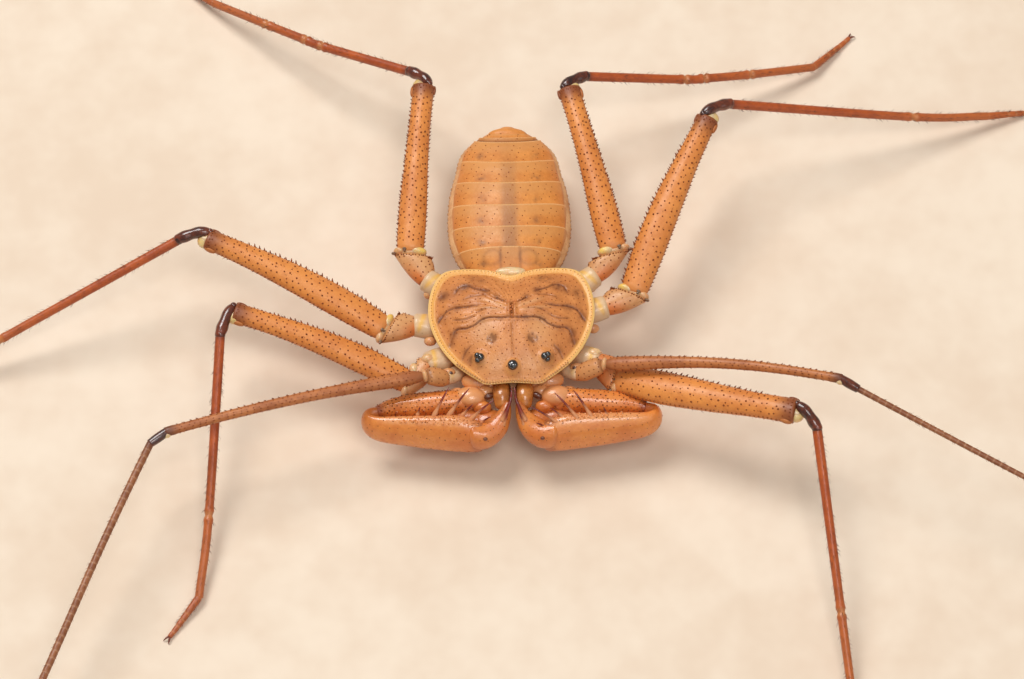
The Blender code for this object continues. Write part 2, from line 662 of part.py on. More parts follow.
def build_leg(side, pair, collection, root):
    lengths = LEG_LENGTHS[pair]
    base, pose = LEG_POSE[(side, pair)]
    straight = (lengths["trochanter"], lengths["femur"], lengths["patella"], *lengths["tibia"],
                lengths["tarsus"])
    joints, ways = limb_joints(base, straight, pose)
    prefix = f"leg_{pair}_{side}_"
    cuts = [coxa_way(base)]
    for before, after in zip(ways, ways[1:]):
        cuts.append(between(before, after))
    cuts[3] = ways[3]
    straight_segment(prefix + "trochanter", joints[0], joints[1], TROCHANTER_SECTIONS, 12,
                     (cuts[0], cuts[1]), "leg", collection, root)
    bow = bow_between(joints[1], joints[2], FEMUR_BOW, FEMUR_REAR_BOW[pair])
    femur = straight_segment(prefix + "femur", joints[1], joints[2], FEMUR_SECTIONS[pair], 12,
                             (cuts[1], cuts[2]), "leg", collection, root, bow)
    draw = random.Random(prefix)
    fuse(femur, denticles(joints[1], joints[2], FEMUR_SECTIONS[pair], bow, draw, root))
    straight_segment(prefix + "patella", joints[2], joints[3], PATELLA_SECTIONS, 12,
                     (cuts[2], cuts[3]), "knee", collection, root)
    tibia = joints[3:3 + len(lengths["tibia"]) + 1]
    build_tibia(prefix + "tibia", tibia, collection, root)
    build_foot(prefix + "tarsus", joints[-2], joints[-1], ways[-2], collection, root)


def build_tibia(name, joints, collection, root):
    """A slim tube through the joints of the shin, its ends square to its first and last lengths."""
    first = (joints[1] - joints[0]).normalized()
    last = (joints[-1] - joints[-2]).normalized()
    points = [joints[0] + first * (GAP / 2), *joints[1:-1], joints[-1] - last * (GAP / 2)]
    dense = [points[0]]
    for here, there in zip(points, points[1:]):
        steps = max(1, round((there - here).length / 3.5))
        for step in range(1, steps + 1):
            dense.append(here.lerp(there, step / steps))
    radii = [blend(TIBIA_RADII, index / (len(dense) - 1)) for index in range(len(dense))]
    tube(name, dense, radii, "shin", collection, root)


def tube(name, points, radii, finish, collection, root):
    """A tapered tube made as a bevelled curve and turned into a mesh."""
    curve = bpy.data.curves.new(name, "CURVE")
    curve.dimensions = "3D"
    curve.bevel_depth = MM
    curve.bevel_resolution = 2
    curve.use_fill_caps = True
    spline = curve.splines.new("POLY")
    spline.points.add(len(points) - 1)
    for place, point, radius in zip(spline.points, points, radii):
        place.co = (*((point - points[0]) * MM), 1.0)
        place.radius = radius
    drawn = bpy.data.objects.new(name + "_curve", curve)
    bpy.context.scene.collection.objects.link(drawn)
    bpy.context.view_layer.update()
    graph = bpy.context.evaluated_depsgraph_get()
    mesh = bpy.data.meshes.new_from_object(drawn.evaluated_get(graph))
    mesh.name = name
    builder = bmesh.new()
    builder.from_mesh(mesh)
    bmesh.ops.remove_doubles(builder, verts=builder.verts, dist=1e-7)
    bmesh.ops.recalc_face_normals(builder, faces=builder.faces)
    builder.to_mesh(mesh)
    builder.free()
    bpy.data.objects.remove(drawn, do_unlink=True)
    bpy.data.curves.remove(curve)
    return add_object(name, mesh, points[0], finish, collection, root)


def build_foot(name, start, end, cut, collection, root):
    """The last length of a leg: round at the joint, flat where its sole meets the floor."""
    path = []
    sizes = []
    for share in (0.0, 0.35, 0.7, SOLE_SHARE, 1.0):
        point = start.lerp(end, share)
        point.z = max(FOOT_END_Z, start.z + (FOOT_END_Z - start.z) * share / SOLE_SHARE)
        path.append(point)
        radius = blend(TARSUS_RADII, share) * (FOOT_TIP_SHARE if share == 1.0 else 1.0)
        sizes.append((radius, radius))
    rings = sweep_rings(path, sizes, 8, first_cut=cut, floor=0.0)
    add_object(name, mesh_from_rings(name, rings, start), start, "shin", collection, root)


def whip_points(start, side):
    """Points of the whip from the knee to its tip, with the joint's place among them."""
    total = sum(WHIP_LENGTHS.values())
    steps = round(total / WHIP_STEP)
    points = [start]
    for step in range(steps):
        share = (step + 0.5) / steps
        way = direction(blend(WHIP_HEADINGS[side], share), blend(WHIP_CLIMBS[side], share))
        points.append(points[-1] + way * (total / steps))
    return points, round(steps * WHIP_LENGTHS["tibia"] / total)


def build_feeler(side, collection, root):
    base = FEELER_BASE[side]
    joints, ways = limb_joints(base, FEELER_LENGTHS[side], FEELER_POSE[side])
    prefix = f"leg_1_{side}_"
    points, joint = whip_points(joints[3], side)
    whip_way = (points[1] - points[0]).normalized()
    cuts = [coxa_way(base), between(ways[0], ways[1]), between(ways[1], ways[2]), whip_way]
    straight_segment(prefix + "trochanter", joints[0], joints[1], FEELER_TROCHANTER_SECTIONS, 10,
                     (cuts[0], cuts[1]), "leg", collection, root)
    bow = bow_between(joints[1], joints[2], FEELER_FEMUR_BOW, FEELER_REAR_BOW[side])
    straight_segment(prefix + "femur", joints[1], joints[2], FEELER_FEMUR_SECTIONS, 10,
                     (cuts[1], cuts[2]), "leg", collection, root, bow)
    straight_segment(prefix + "patella", joints[2], joints[3], FEELER_PATELLA_SECTIONS, 10,
                     (cuts[2], cuts[3]), "knee", collection, root)
    for name, first, last in (("tibia", 0, joint), ("tarsus", joint, len(points) - 1)):
        part = [point.copy() for point in points[first:last + 1]]
        part[0] += (part[1] - part[0]).normalized() * (GAP / 2)
        if name == "tibia":
            part[-1] += (part[-2] - part[-1]).normalized() * (GAP / 2)
        radii = []
        for index in range(first, last + 1):
            radii.append(blend(WHIP_RADII[side], index / (len(points) - 1)))
        tube(prefix + name, part, radii, "shin", collection, root)


def mirrored(path, sign):
    return [Vector((sign * x, y, z)) for x, y, z in path]


def curved_segment(name, path, sizes, per_span, sides, cuts, finish, collection, root, lean=0.0):
    """A limb segment whose centre line bends."""
    line = smooth_path(path, per_span)
    across = [blend([size[0] for size in sizes], index / (len(line) - 1)) for index in range(len(line))]
    deep = [blend([size[1] for size in sizes], index / (len(line) - 1)) for index in range(len(line))]
    rings = sweep_rings(line, list(zip(across, deep)), sides, *cuts, lean=lean)
    mesh = mesh_from_rings(name, rings, line[0])
    return add_object(name, mesh, line[0], finish, collection, root)


def end_ways(path):
    line = smooth_path(path, 2)
    return (line[1] - line[0]).normalized(), (line[-1] - line[-2]).normalized()


def build_pedipalp(side, collection, root):
    sign = SIDES[side]
    prefix = f"pedipalp_{side}_"
    trochanter = mirrored(PALP_TROCHANTER_PATH, sign)
    femur = mirrored(PALP_FEMUR_PATH, sign)
    patella = mirrored(PALP_PATELLA_PATH, sign)
    tibia = mirrored(PALP_TIBIA_PATH, sign)
    claw = mirrored(PALP_CLAW_PATH, sign)
    trochanter_cut = between(end_ways(trochanter)[1], end_ways(femur)[0])
    elbow_cut = between(end_ways(femur)[1], end_ways(patella)[0])
    tibia_cut = between(end_ways(patella)[1], end_ways(tibia)[0])
    claw_cut = between(end_ways(tibia)[1], end_ways(claw)[0])
    curved_segment(prefix + "trochanter", trochanter, PALP_TROCHANTER_SIZES, 2, 12,
                   (None, trochanter_cut), "membrane", collection, root)
    femur = curved_segment(prefix + "femur", femur, PALP_FEMUR_SIZES, 2, 14,
                           (trochanter_cut, elbow_cut), "palp", collection, root)
    patella = curved_segment(prefix + "patella", patella, PALP_PATELLA_SIZES, 2, 14,
                             (elbow_cut, tibia_cut), "palp", collection, root, PALP_PATELLA_LEAN)
    tibia = curved_segment(prefix + "tibia", tibia, PALP_TIBIA_SIZES, 2, 12,
                           (tibia_cut, claw_cut), "palp", collection, root)
    for segment, spines in ((femur, PALP_FEMUR_SPINES), (patella, PALP_PATELLA_SPINES),
                            (tibia, PALP_TIBIA_SPINES)):
        cones = []
        for foot, tip, radius in spines:
            cones.append(make_spine(*mirrored((foot, tip), sign), radius, root))
        fuse(segment, cones)
    curved_segment(prefix + "tarsus", claw, PALP_CLAW_SIZES, 2, 8,
                   (claw_cut, None), "claw", collection, root)


def build_chelicera(side, collection, root):
    path = mirrored(CHELICERA_PATH, SIDES[side])
    curved_segment(f"chelicera_{side}", path, CHELICERA_SIZES, 2, 12, (None, None),
                   "membrane", collection, root)


def centre_on_floor(root, collection):
    """Moves the whole model so that its origin is the bottom centre of its box."""
    bpy.context.view_layer.update()
    corners = [item.matrix_world @ vert.co for item in collection.objects if item.type == "MESH"
               for vert in item.data.vertices]
    low = [min(corner[axis] for corner in corners) for axis in range(3)]
    high = [max(corner[axis] for corner in corners) for axis in range(3)]
    root.location = (-(low[0] + high[0]) / 2, -(low[1] + high[1]) / 2, -low[2])


def main():
    clear_scene()
    parts = make_collection(OBJECT_NAME)
    root = bpy.data.objects.new("whipscorpion", None)
    parts.objects.link(root)
    coxa_ends = []
    for side in SIDES:
        for pair in LEG_LENGTHS:
            base = Vector(LEG_POSE[(side, pair)][0])
            coxa_ends.append((base, COXA_RADIUS, coxa_way(base)))
        base = Vector(FEELER_BASE[side])
        coxa_ends.append((base, FEELER_COXA_RADIUS, coxa_way(base)))
        palp = mirrored(PALP_TROCHANTER_PATH, SIDES[side])
        coxa_ends.append((palp[0], PALP_COXA_RADIUS, end_ways(palp)[0]))
        jaw = mirrored(CHELICERA_PATH, SIDES[side])
        coxa_ends.append((jaw[0], CHELICERA_BASE_RADIUS, end_ways(jaw)[0]))
    build_carapace(parts, root)
    build_prosoma(parts, root, coxa_ends)
    build_abdomen(parts, root)
    build_eye("eye_median", *MEDIAN_EYE, ((0.0, 0.0, EYE_RADIUS),), parts, root)
    for side, sign in SIDES.items():
        lenses = [(across * sign, along, radius) for across, along, radius in LATERAL_LENSES]
        build_eye(f"eyes_lateral_{side}", LATERAL_EYE[0] * sign, LATERAL_EYE[1], lenses, parts, root)
        build_chelicera(side, parts, root)
        build_pedipalp(side, parts, root)
        build_feeler(side, parts, root)
        for pair in LEG_LENGTHS:
            build_leg(side, pair, parts, root)
    centre_on_floor(root, parts)


main()
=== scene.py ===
import math

import bpy
import numpy as np
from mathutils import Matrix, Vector


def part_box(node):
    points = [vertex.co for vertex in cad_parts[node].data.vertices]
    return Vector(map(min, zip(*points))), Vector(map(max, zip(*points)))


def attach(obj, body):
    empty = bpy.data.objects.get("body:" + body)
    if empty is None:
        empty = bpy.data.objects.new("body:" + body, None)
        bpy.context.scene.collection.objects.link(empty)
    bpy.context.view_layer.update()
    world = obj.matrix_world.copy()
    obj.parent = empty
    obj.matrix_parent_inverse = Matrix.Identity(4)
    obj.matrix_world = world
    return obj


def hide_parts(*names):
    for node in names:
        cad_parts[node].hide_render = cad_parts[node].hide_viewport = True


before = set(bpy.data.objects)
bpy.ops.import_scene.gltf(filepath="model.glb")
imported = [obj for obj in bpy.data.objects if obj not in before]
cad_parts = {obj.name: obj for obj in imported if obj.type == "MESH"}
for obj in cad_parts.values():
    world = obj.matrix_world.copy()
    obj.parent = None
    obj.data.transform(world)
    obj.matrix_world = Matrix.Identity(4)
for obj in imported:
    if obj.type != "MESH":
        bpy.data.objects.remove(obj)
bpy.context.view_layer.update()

# Lengths below are millimetres in the animal's own frame: it faces -Y, and +X is its left.
abdomenLow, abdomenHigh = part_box("abdomen")
abdomenFrontY = 4.75
shift = np.array([(abdomenLow[0] + abdomenHigh[0]) / 2, abdomenLow[1] - abdomenFrontY * 0.001, 0.0])
sides = {"left": 1, "right": -1}

view = {
    "target": (0.0, 0.0, 4.5), "elevation": 60.0, "turn": -1.1, "distance": 279.07, "lens": 156.0, "sensor": 36.0,
    "imageCentre": (512.0, 339.5), "pixelsPerMm": 15.9, "flatShare": 0.866, "riseShare": 0.5,
}


def srgb(colour):
    # a colour picked on screen, as linear light
    scaled = np.array(colour) / 255.0
    linear = np.where(scaled <= 0.04045, scaled / 12.92, ((scaled + 0.055) / 1.055) ** 2.4)
    return (*map(float, linear), 1.0)


def unit(vectors):
    vectors = np.asarray(vectors, float)
    return vectors / np.maximum(np.linalg.norm(vectors, axis=-1, keepdims=True), 1e-12)


def smooth(low, high, value):
    share = np.clip((np.asarray(value, float) - low) / (high - low), 0.0, 1.0)
    return share * share * (3 - 2 * share)


def bell(gap, width, power=2):
    # 1 at no gap, falling softly to 0
    return np.exp(-(gap / width) ** power)


def towards(heading, climb):
    turn, rise = math.radians(heading), math.radians(climb)
    return np.array([math.cos(turn) * math.cos(rise), math.sin(turn) * math.cos(rise), math.sin(rise)])


def blendList(values, share):
    return np.interp(share, np.linspace(0, 1, len(values)), values)


def blendRows(places, known, rows):
    return np.stack([np.interp(places, known, rows[:, axis]) for axis in range(3)], -1)


def runLengths(path):
    return np.concatenate([[0.0], np.cumsum(np.linalg.norm(np.diff(path, axis=0), axis=1))])


def through(knots, perSpan):
    # a Catmull-Rom curve through knots, each a point with any sizes after it
    knots = np.asarray(knots, float)
    ends = np.vstack([2 * knots[0] - knots[1], knots, 2 * knots[-1] - knots[-2]])
    rows = []
    for index in range(len(knots) - 1):
        before, here, there, after = ends[index:index + 4]
        for t in np.arange(perSpan) / perSpan:
            rows.append(0.5 * (2 * here + (there - before) * t + (2 * before - 5 * here + 4 * there - after) * t * t
                               + (3 * here - before - 3 * there + after) * t ** 3))
    return np.array([*rows, knots[-1]])


def atPixel(u, v, z):
    # the place at height z that the camera sees at a pixel of the picture
    up = (view["imageCentre"][1] - v) / view["pixelsPerMm"]
    x = (u - view["imageCentre"][0]) / view["pixelsPerMm"]
    return np.array([x, (up - view["riseShare"] * (z - view["target"][2])) / view["flatShare"], z])


def paint(shape, **masks):
    # values on every point, which the materials read
    for name, mask in masks.items():
        shape["values"][name] = np.broadcast_to(np.ravel(mask).astype(float), len(shape["points"])).copy()
    return shape


def makeShape(points, quads=(), tris=(), **masks):
    return paint({"points": np.asarray(points, float).reshape(-1, 3), "quads": np.asarray(quads, int).reshape(-1, 4),
                  "tris": np.asarray(tris, int).reshape(-1, 3), "values": {}}, **masks)


def joinShapes(*shapes):
    offsets = np.cumsum([0] + [len(shape["points"]) for shape in shapes])
    names = sorted({name for shape in shapes for name in shape["values"]})
    masks = {name: np.concatenate([shape["values"].get(name, np.zeros(len(shape["points"]))) for shape in shapes])
             for name in names}
    faces = [np.vstack([shape[kind] + offset for shape, offset in zip(shapes, offsets)]) for kind in ("quads", "tris")]
    return makeShape(np.vstack([shape["points"] for shape in shapes]), *faces, **masks)


def gridFaces(rows, columns, closed):
    # quads of a grid whose columns may close on themselves
    row, column = np.meshgrid(np.arange(rows - 1), np.arange(columns if closed else columns - 1), indexing="ij")
    after = (column + 1) % columns
    return np.stack([row * columns + column, row * columns + after,
                     (row + 1) * columns + after, (row + 1) * columns + column], -1).reshape(-1, 4)


def tubeFaces(rows, around):
    # quads of a tube, and the fans to its two end points, which come last
    here = np.arange(around)
    after, far = (here + 1) % around, (rows - 1) * around
    first, last = np.full(around, rows * around), np.full(around, rows * around + 1)
    tris = np.vstack([np.stack([first, after, here], -1), np.stack([last, far + here, far + after], -1)])
    return gridFaces(rows, around, True), tris


def loft(path, widths, depths, around=20, lean=0.0, caps=(0.5, 0.5), level=None):
    # a body along a path, with rounded ends; widths lie level, depths upright
    path = np.asarray(path, float)
    widths, depths = (np.broadcast_to(np.asarray(sizes, float), len(path)) for sizes in (widths, depths))
    tangents = unit(np.gradient(path, axis=0))
    sideways = unit(np.cross(tangents, (0.0, 0.0, 1.0)) if level is None else level)
    over = unit(np.cross(sideways, tangents))
    lengths = runLengths(path)
    share = lengths / lengths[-1]
    bends = np.radians([28, 52, 70, 83])
    picks = np.concatenate([np.zeros(4, int), np.arange(len(path)), np.full(4, len(path) - 1)])
    scales = np.concatenate([np.cos(bends[::-1]), np.ones(len(path)), np.cos(bends)])
    reach = [min(widths[end], depths[end]) * cap for end, cap in zip((0, -1), caps)]
    push = np.concatenate([-reach[0] * np.sin(bends[::-1]), np.zeros(len(path)), reach[1] * np.sin(bends)])
    centres = path[picks] + tangents[picks] * push[:, None]
    angles = np.linspace(0, 2 * math.pi, around, endpoint=False)
    flat = (widths[picks] * scales)[:, None] * np.cos(angles)
    high = (depths[picks] * scales)[:, None] * np.sin(angles)
    offsets = sideways[picks][:, None] * flat[..., None] + over[picks][:, None] * high[..., None]
    offsets[..., 1] += lean * offsets[..., 2]
    poles = [centres[0] - tangents[0] * 1e-3, centres[-1] + tangents[-1] * 1e-3]
    along = np.concatenate([np.repeat(share[picks], around), [0.0, 1.0]])
    top = np.concatenate([np.tile(np.sin(angles), len(picks)), [0.0, 0.0]])
    flank = np.concatenate([np.tile(np.cos(angles), len(picks)), [0.0, 0.0]])
    shape = makeShape(np.vstack([(centres[:, None] + offsets).reshape(-1, 3), poles]), *tubeFaces(len(picks), around),
                      along=along, top=top, flank=flank)
    return {"path": path, "widths": widths, "depths": depths, "tangents": tangents, "sideways": sideways, "over": over,
            "share": share, "length": lengths[-1], "lean": lean, "shape": shape, "grid": (along, top, flank)}


def onLoft(body, share, turn):
    # points, outward directions and lengthwise directions at shares along and turns round a loft
    share, turn = np.asarray(share, float), np.asarray(turn, float)[:, None] * 2 * math.pi
    wide, deep = (np.interp(share, body["share"], body[name])[:, None] for name in ("widths", "depths"))
    path, sideways, over, tangents = (blendRows(share, body["share"], body[name])
                                      for name in ("path", "sideways", "over", "tangents"))
    sideways, over = unit(sideways), unit(over)
    offsets = sideways * wide * np.cos(turn) + over * deep * np.sin(turn)
    offsets[:, 1] += body["lean"] * offsets[:, 2]
    return path + offsets, unit(sideways * np.cos(turn) / wide + over * np.sin(turn) / deep), unit(tangents)


def bulb(centre, radii, rows=12, around=18, way=(1.0, 0.0), **masks):
    # a rounded lump whose first radius lies along a level direction
    rise = np.linspace(-math.pi / 2, math.pi / 2, rows + 2)[1:-1]
    angles = np.linspace(0, 2 * math.pi, around, endpoint=False)
    ball = np.stack([np.outer(np.cos(rise), np.cos(angles)), np.outer(np.cos(rise), np.sin(angles)),
                     np.outer(np.sin(rise), np.ones(around))], -1).reshape(-1, 3)
    points = np.vstack([ball, [[0, 0, -1], [0, 0, 1]]]) * np.asarray(radii, float)
    fore = unit(way[:2])
    points[:, :2] = points[:, :1] * fore + points[:, 1:2] * np.array([-fore[1], fore[0]])
    top = np.concatenate([np.repeat(np.sin(rise), around), [-1.0, 1.0]])
    return makeShape(points + np.asarray(centre, float), *tubeFaces(rows, around), top=top, **masks)


# each level of a small spike or dot: height, girth, and size on the unwrap
spikeLevels = ((0.0, 1.0, 1.0), (0.35, 0.74, 0.72), (0.72, 0.4, 0.424))
studLevels = ((-0.25, 1.05, 1.05), (0.65, 0.72, 0.72))
patchSize = 0.0015


def cones(points, ways, lengths, radii, roots, levels, around, bend=0.0, sink=0.0):
    # many small spikes or dots; roots are their places on the unwrap of what carries them
    points, ways, roots = np.asarray(points, float), unit(ways), np.asarray(roots)
    count = len(points)
    lengths, radii = (np.broadcast_to(np.asarray(sizes, float), count) for sizes in (lengths, radii))
    helper = np.where(np.abs(ways[:, 2:3]) < 0.9, [[0.0, 0.0, 1.0]], [[1.0, 0.0, 0.0]])
    first = unit(np.cross(ways, helper))
    second = np.cross(ways, first)
    angles = np.linspace(0, 2 * math.pi, around, endpoint=False)[:, None]
    ring = first[:, None] * np.cos(angles) + second[:, None] * np.sin(angles)
    circle = np.concatenate([np.cos(angles), np.sin(angles)], -1) * patchSize
    layers, patches = [], []
    for share, girth, patch in levels:
        centre = points + ways * (lengths * share - (sink if share == 0 else 0.0))[:, None] + bend * share ** 2
        layers.append(centre[:, None] + ring * (radii * girth)[:, None, None])
        patches.append(roots[:, None] + circle * patch)
    layers.append((points + ways * lengths[:, None] + bend)[:, None])
    patches.append(roots[:, None])
    here, peak = np.arange(around), around * len(levels)
    after = (here + 1) % around
    start = (np.arange(count) * (peak + 1))[:, None, None]
    quads = [start + np.stack([low + here, low + after, low + around + after, low + around + here], -1)
             for low in range(0, peak - around, around)]
    tris = start + np.stack([peak - around + here, peak - around + after, np.full(around, peak)], -1)
    places = np.concatenate(patches, 1).reshape(-1, 2)
    return makeShape(np.concatenate(layers, 1), np.concatenate(quads), tris, bakeU=places[:, 0], bakeV=places[:, 1])


def spikes(points, ways, lengths, radii, roots, around=5, bend=0.0, sink=0.06):
    return cones(points, ways, lengths, radii, roots, spikeLevels, around, bend, sink)


def studs(points, ways, radii, heights, roots):
    return cones(points, ways, heights, radii, roots, studLevels, 6)


def addPiece(name, shape, finish, slot, *nodes):
    mesh = bpy.data.meshes.new(name)
    quads, tris, masks = shape["quads"], shape["tris"], dict(shape["values"])
    loops = np.concatenate([quads.ravel(), tris.ravel()]).astype(np.int32)
    starts = np.concatenate([np.arange(len(quads)) * 4, len(quads) * 4 + np.arange(len(tris)) * 3]).astype(np.int32)
    mesh.vertices.add(len(shape["points"]))
    mesh.vertices.foreach_set("co", (shape["points"] * 0.001 + shift).astype(np.float32).ravel())
    mesh.loops.add(len(loops))
    mesh.loops.foreach_set("vertex_index", loops)
    mesh.polygons.add(len(starts))
    mesh.polygons.foreach_set("loop_start", starts)
    mesh.update(calc_edges=True)
    mesh.shade_smooth()
    if "bakeU" in masks:
        pairs = np.stack([masks.pop("bakeU"), masks.pop("bakeV")], -1)
        mesh.uv_layers.new(name="OFBake").data.foreach_set("uv", pairs[loops].astype(np.float32).ravel())
    for key, mask in masks.items():
        mesh.attributes.new(key, "FLOAT", "POINT").data.foreach_set("value", mask.astype(np.float32))
    piece = bpy.data.objects.new(name, mesh)
    bpy.context.scene.collection.objects.link(piece)
    mesh.materials.append(finishes[finish])
    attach(piece, "root")
    if nodes:
        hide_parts(*nodes)


def addNode(tree, kind, settings, inputs):
    node = tree.nodes.new(kind)
    for key, value in settings.items():
        setattr(node, key, value)
    for key, value in inputs.items():
        if isinstance(value, bpy.types.NodeSocket):
            tree.links.new(value, node.inputs[key])
        else:
            node.inputs[key].default_value = value
    return node


def newGroup(name, inputs, outputs):
    tree = bpy.data.node_groups.new(name, "ShaderNodeTree")
    for label, value in inputs.items():
        kind = "NodeSocketColor" if isinstance(value, tuple) else "NodeSocketFloat"
        tree.interface.new_socket(name=label, in_out="INPUT", socket_type=kind).default_value = value
    for label in outputs:
        kind = "NodeSocketColor" if label == "Color" else "NodeSocketFloat"
        tree.interface.new_socket(name=label, in_out="OUTPUT", socket_type=kind)
    place = tree.nodes.new("ShaderNodeTexCoord").outputs["Object"]
    return tree, place, tree.nodes.new("NodeGroupInput").outputs, tree.nodes.new("NodeGroupOutput").inputs


def noise(tree, place, scale, detail):
    return addNode(tree, "ShaderNodeTexNoise", {},
                   {"Vector": place, "Scale": scale, "Detail": detail, "Roughness": 0.6}).outputs["Fac"]


def calculate(tree, operation, first, second, third=0.0, clamp=False):
    return addNode(tree, "ShaderNodeMath", {"operation": operation, "use_clamp": clamp},
                   {0: first, 1: second, 2: third}).outputs[0]


def mapRange(tree, value, fromLow, fromHigh, toLow, toHigh, kind="SMOOTHSTEP"):
    return addNode(tree, "ShaderNodeMapRange", {"interpolation_type": kind}, {
        "Value": value, "From Min": fromLow, "From Max": fromHigh, "To Min": toLow, "To Max": toHigh}).outputs[0]


def mixColour(tree, factor, first, second):
    return addNode(tree, "ShaderNodeMix", {"data_type": "RGBA"}, {0: factor, 6: first, 7: second}).outputs[2]


def buildMottleGroup():
    # cloudy change from one cuticle colour to another
    tree, place, given, made = newGroup(
        "cuticleMottle", {"Light": (0.8, 0.5, 0.3, 1.0), "Dark": (0.4, 0.2, 0.1, 1.0), "Scale": 700.0},
        ("Color", "Mask", "Cloud"))
    broad = noise(tree, place, given["Scale"], 4.0)
    fine = noise(tree, place, calculate(tree, "MULTIPLY", given["Scale"], 6.0), 2.0)
    both = calculate(tree, "MULTIPLY_ADD", fine, 0.35, calculate(tree, "MULTIPLY", broad, 0.65))
    mask = mapRange(tree, both, 0.34, 0.66, 0.0, 1.0)
    tree.links.new(mixColour(tree, mask, given["Light"], given["Dark"]), made["Color"])
    tree.links.new(mask, made["Mask"])
    tree.links.new(noise(tree, place, calculate(tree, "MULTIPLY", given["Scale"], 2.6), 3.0), made["Cloud"])
    return tree


def buildDotGroup():
    # scattered small dark pores
    tree, place, given, made = newGroup("cuticleDots", {"Scale": 2500.0, "Size": 0.2, "Share": 0.5}, ("Mask",))
    cells = addNode(tree, "ShaderNodeTexVoronoi", {}, {"Vector": place, "Scale": given["Scale"]}).outputs
    near = mapRange(tree, cells["Distance"], calculate(tree, "MULTIPLY", given["Size"], 0.55), given["Size"], 1.0, 0.0)
    lot = addNode(tree, "ShaderNodeSeparateColor", {}, {"Color": cells["Color"]}).outputs[0]
    kept = calculate(tree, "LESS_THAN", lot, given["Share"])
    tree.links.new(calculate(tree, "MULTIPLY", near, kept), made["Mask"])
    return tree


def buildGrainGroup():
    # fine grains that catch the light
    tree, place, given, made = newGroup("cuticleGrain", {"Scale": 6000.0}, ("Height",))
    cells = addNode(tree, "ShaderNodeTexVoronoi", {}, {"Vector": place, "Scale": given["Scale"]}).outputs
    waves = noise(tree, place, calculate(tree, "MULTIPLY", given["Scale"], 0.22), 3.0)
    grains = calculate(tree, "SUBTRACT", 1.0, cells["Distance"])
    tree.links.new(calculate(tree, "MULTIPLY_ADD", waves, 0.5, grains), made["Height"])
    return tree


groups = {"mottle": buildMottleGroup(), "dots": buildDotGroup(), "grain": buildGrainGroup()}
usualLook = {"mottle": 700.0, "masks": {}, "patchy": (), "dots": (), "grain": 6000.0, "bump": 0.5, "depth": 0.00002,
             "coat": 0.0, "coatRoughness": 0.15, "specular": 0.5, "glow": 0.0, "glowDepth": 0.0006}


def makeFinish(name, given):
    look = {**usualLook, **given}
    material = bpy.data.materials.new(name)
    material.use_nodes = True
    tree = material.node_tree
    inputs = tree.nodes["Principled BSDF"].inputs
    mottle = addNode(tree, "ShaderNodeGroup", {"node_tree": groups["mottle"]}, {
        "Light": srgb(look["light"]), "Dark": srgb(look["dark"]), "Scale": look["mottle"]}).outputs
    colour = mottle["Color"]
    for mask, (*tint, strength) in look["masks"].items():
        value = addNode(tree, "ShaderNodeAttribute", {"attribute_name": mask}, {}).outputs["Fac"]
        if mask in look["patchy"]:
            value = calculate(tree, "MULTIPLY", value, mapRange(tree, mottle["Cloud"], 0.36, 0.6, 0.25, 1.3))
        colour = mixColour(tree, calculate(tree, "MULTIPLY", value, strength, clamp=True), colour, srgb(tint))
    if look["dots"]:
        scale, size, share, tint, strength = look["dots"]
        dots = addNode(tree, "ShaderNodeGroup", {"node_tree": groups["dots"]},
                       {"Scale": scale, "Size": size, "Share": share}).outputs
        colour = mixColour(tree, calculate(tree, "MULTIPLY", dots["Mask"], strength), colour, srgb(tint))
    tree.links.new(colour, inputs["Base Color"])
    tree.links.new(mapRange(tree, mottle["Mask"], 0.0, 1.0, *look["roughness"], "LINEAR"), inputs["Roughness"])
    if look["bump"]:
        grain = addNode(tree, "ShaderNodeGroup", {"node_tree": groups["grain"]}, {"Scale": look["grain"]}).outputs
        bump = addNode(tree, "ShaderNodeBump", {}, {
            "Strength": look["bump"], "Distance": look["depth"], "Height": grain["Height"]})
        tree.links.new(bump.outputs["Normal"], inputs["Normal"])
    inputs["Coat Weight"].default_value = look["coat"]
    inputs["Coat Roughness"].default_value = look["coatRoughness"]
    inputs["Specular IOR Level"].default_value = look["specular"]
    inputs["Subsurface Weight"].default_value = look["glow"]
    inputs["Subsurface Radius"].default_value = (1.0, 0.45, 0.22)
    inputs["Subsurface Scale"].default_value = look["glowDepth"]
    return material


brown, darkBrown, maroon = (96, 48, 26), (48, 22, 14), (64, 14, 12)

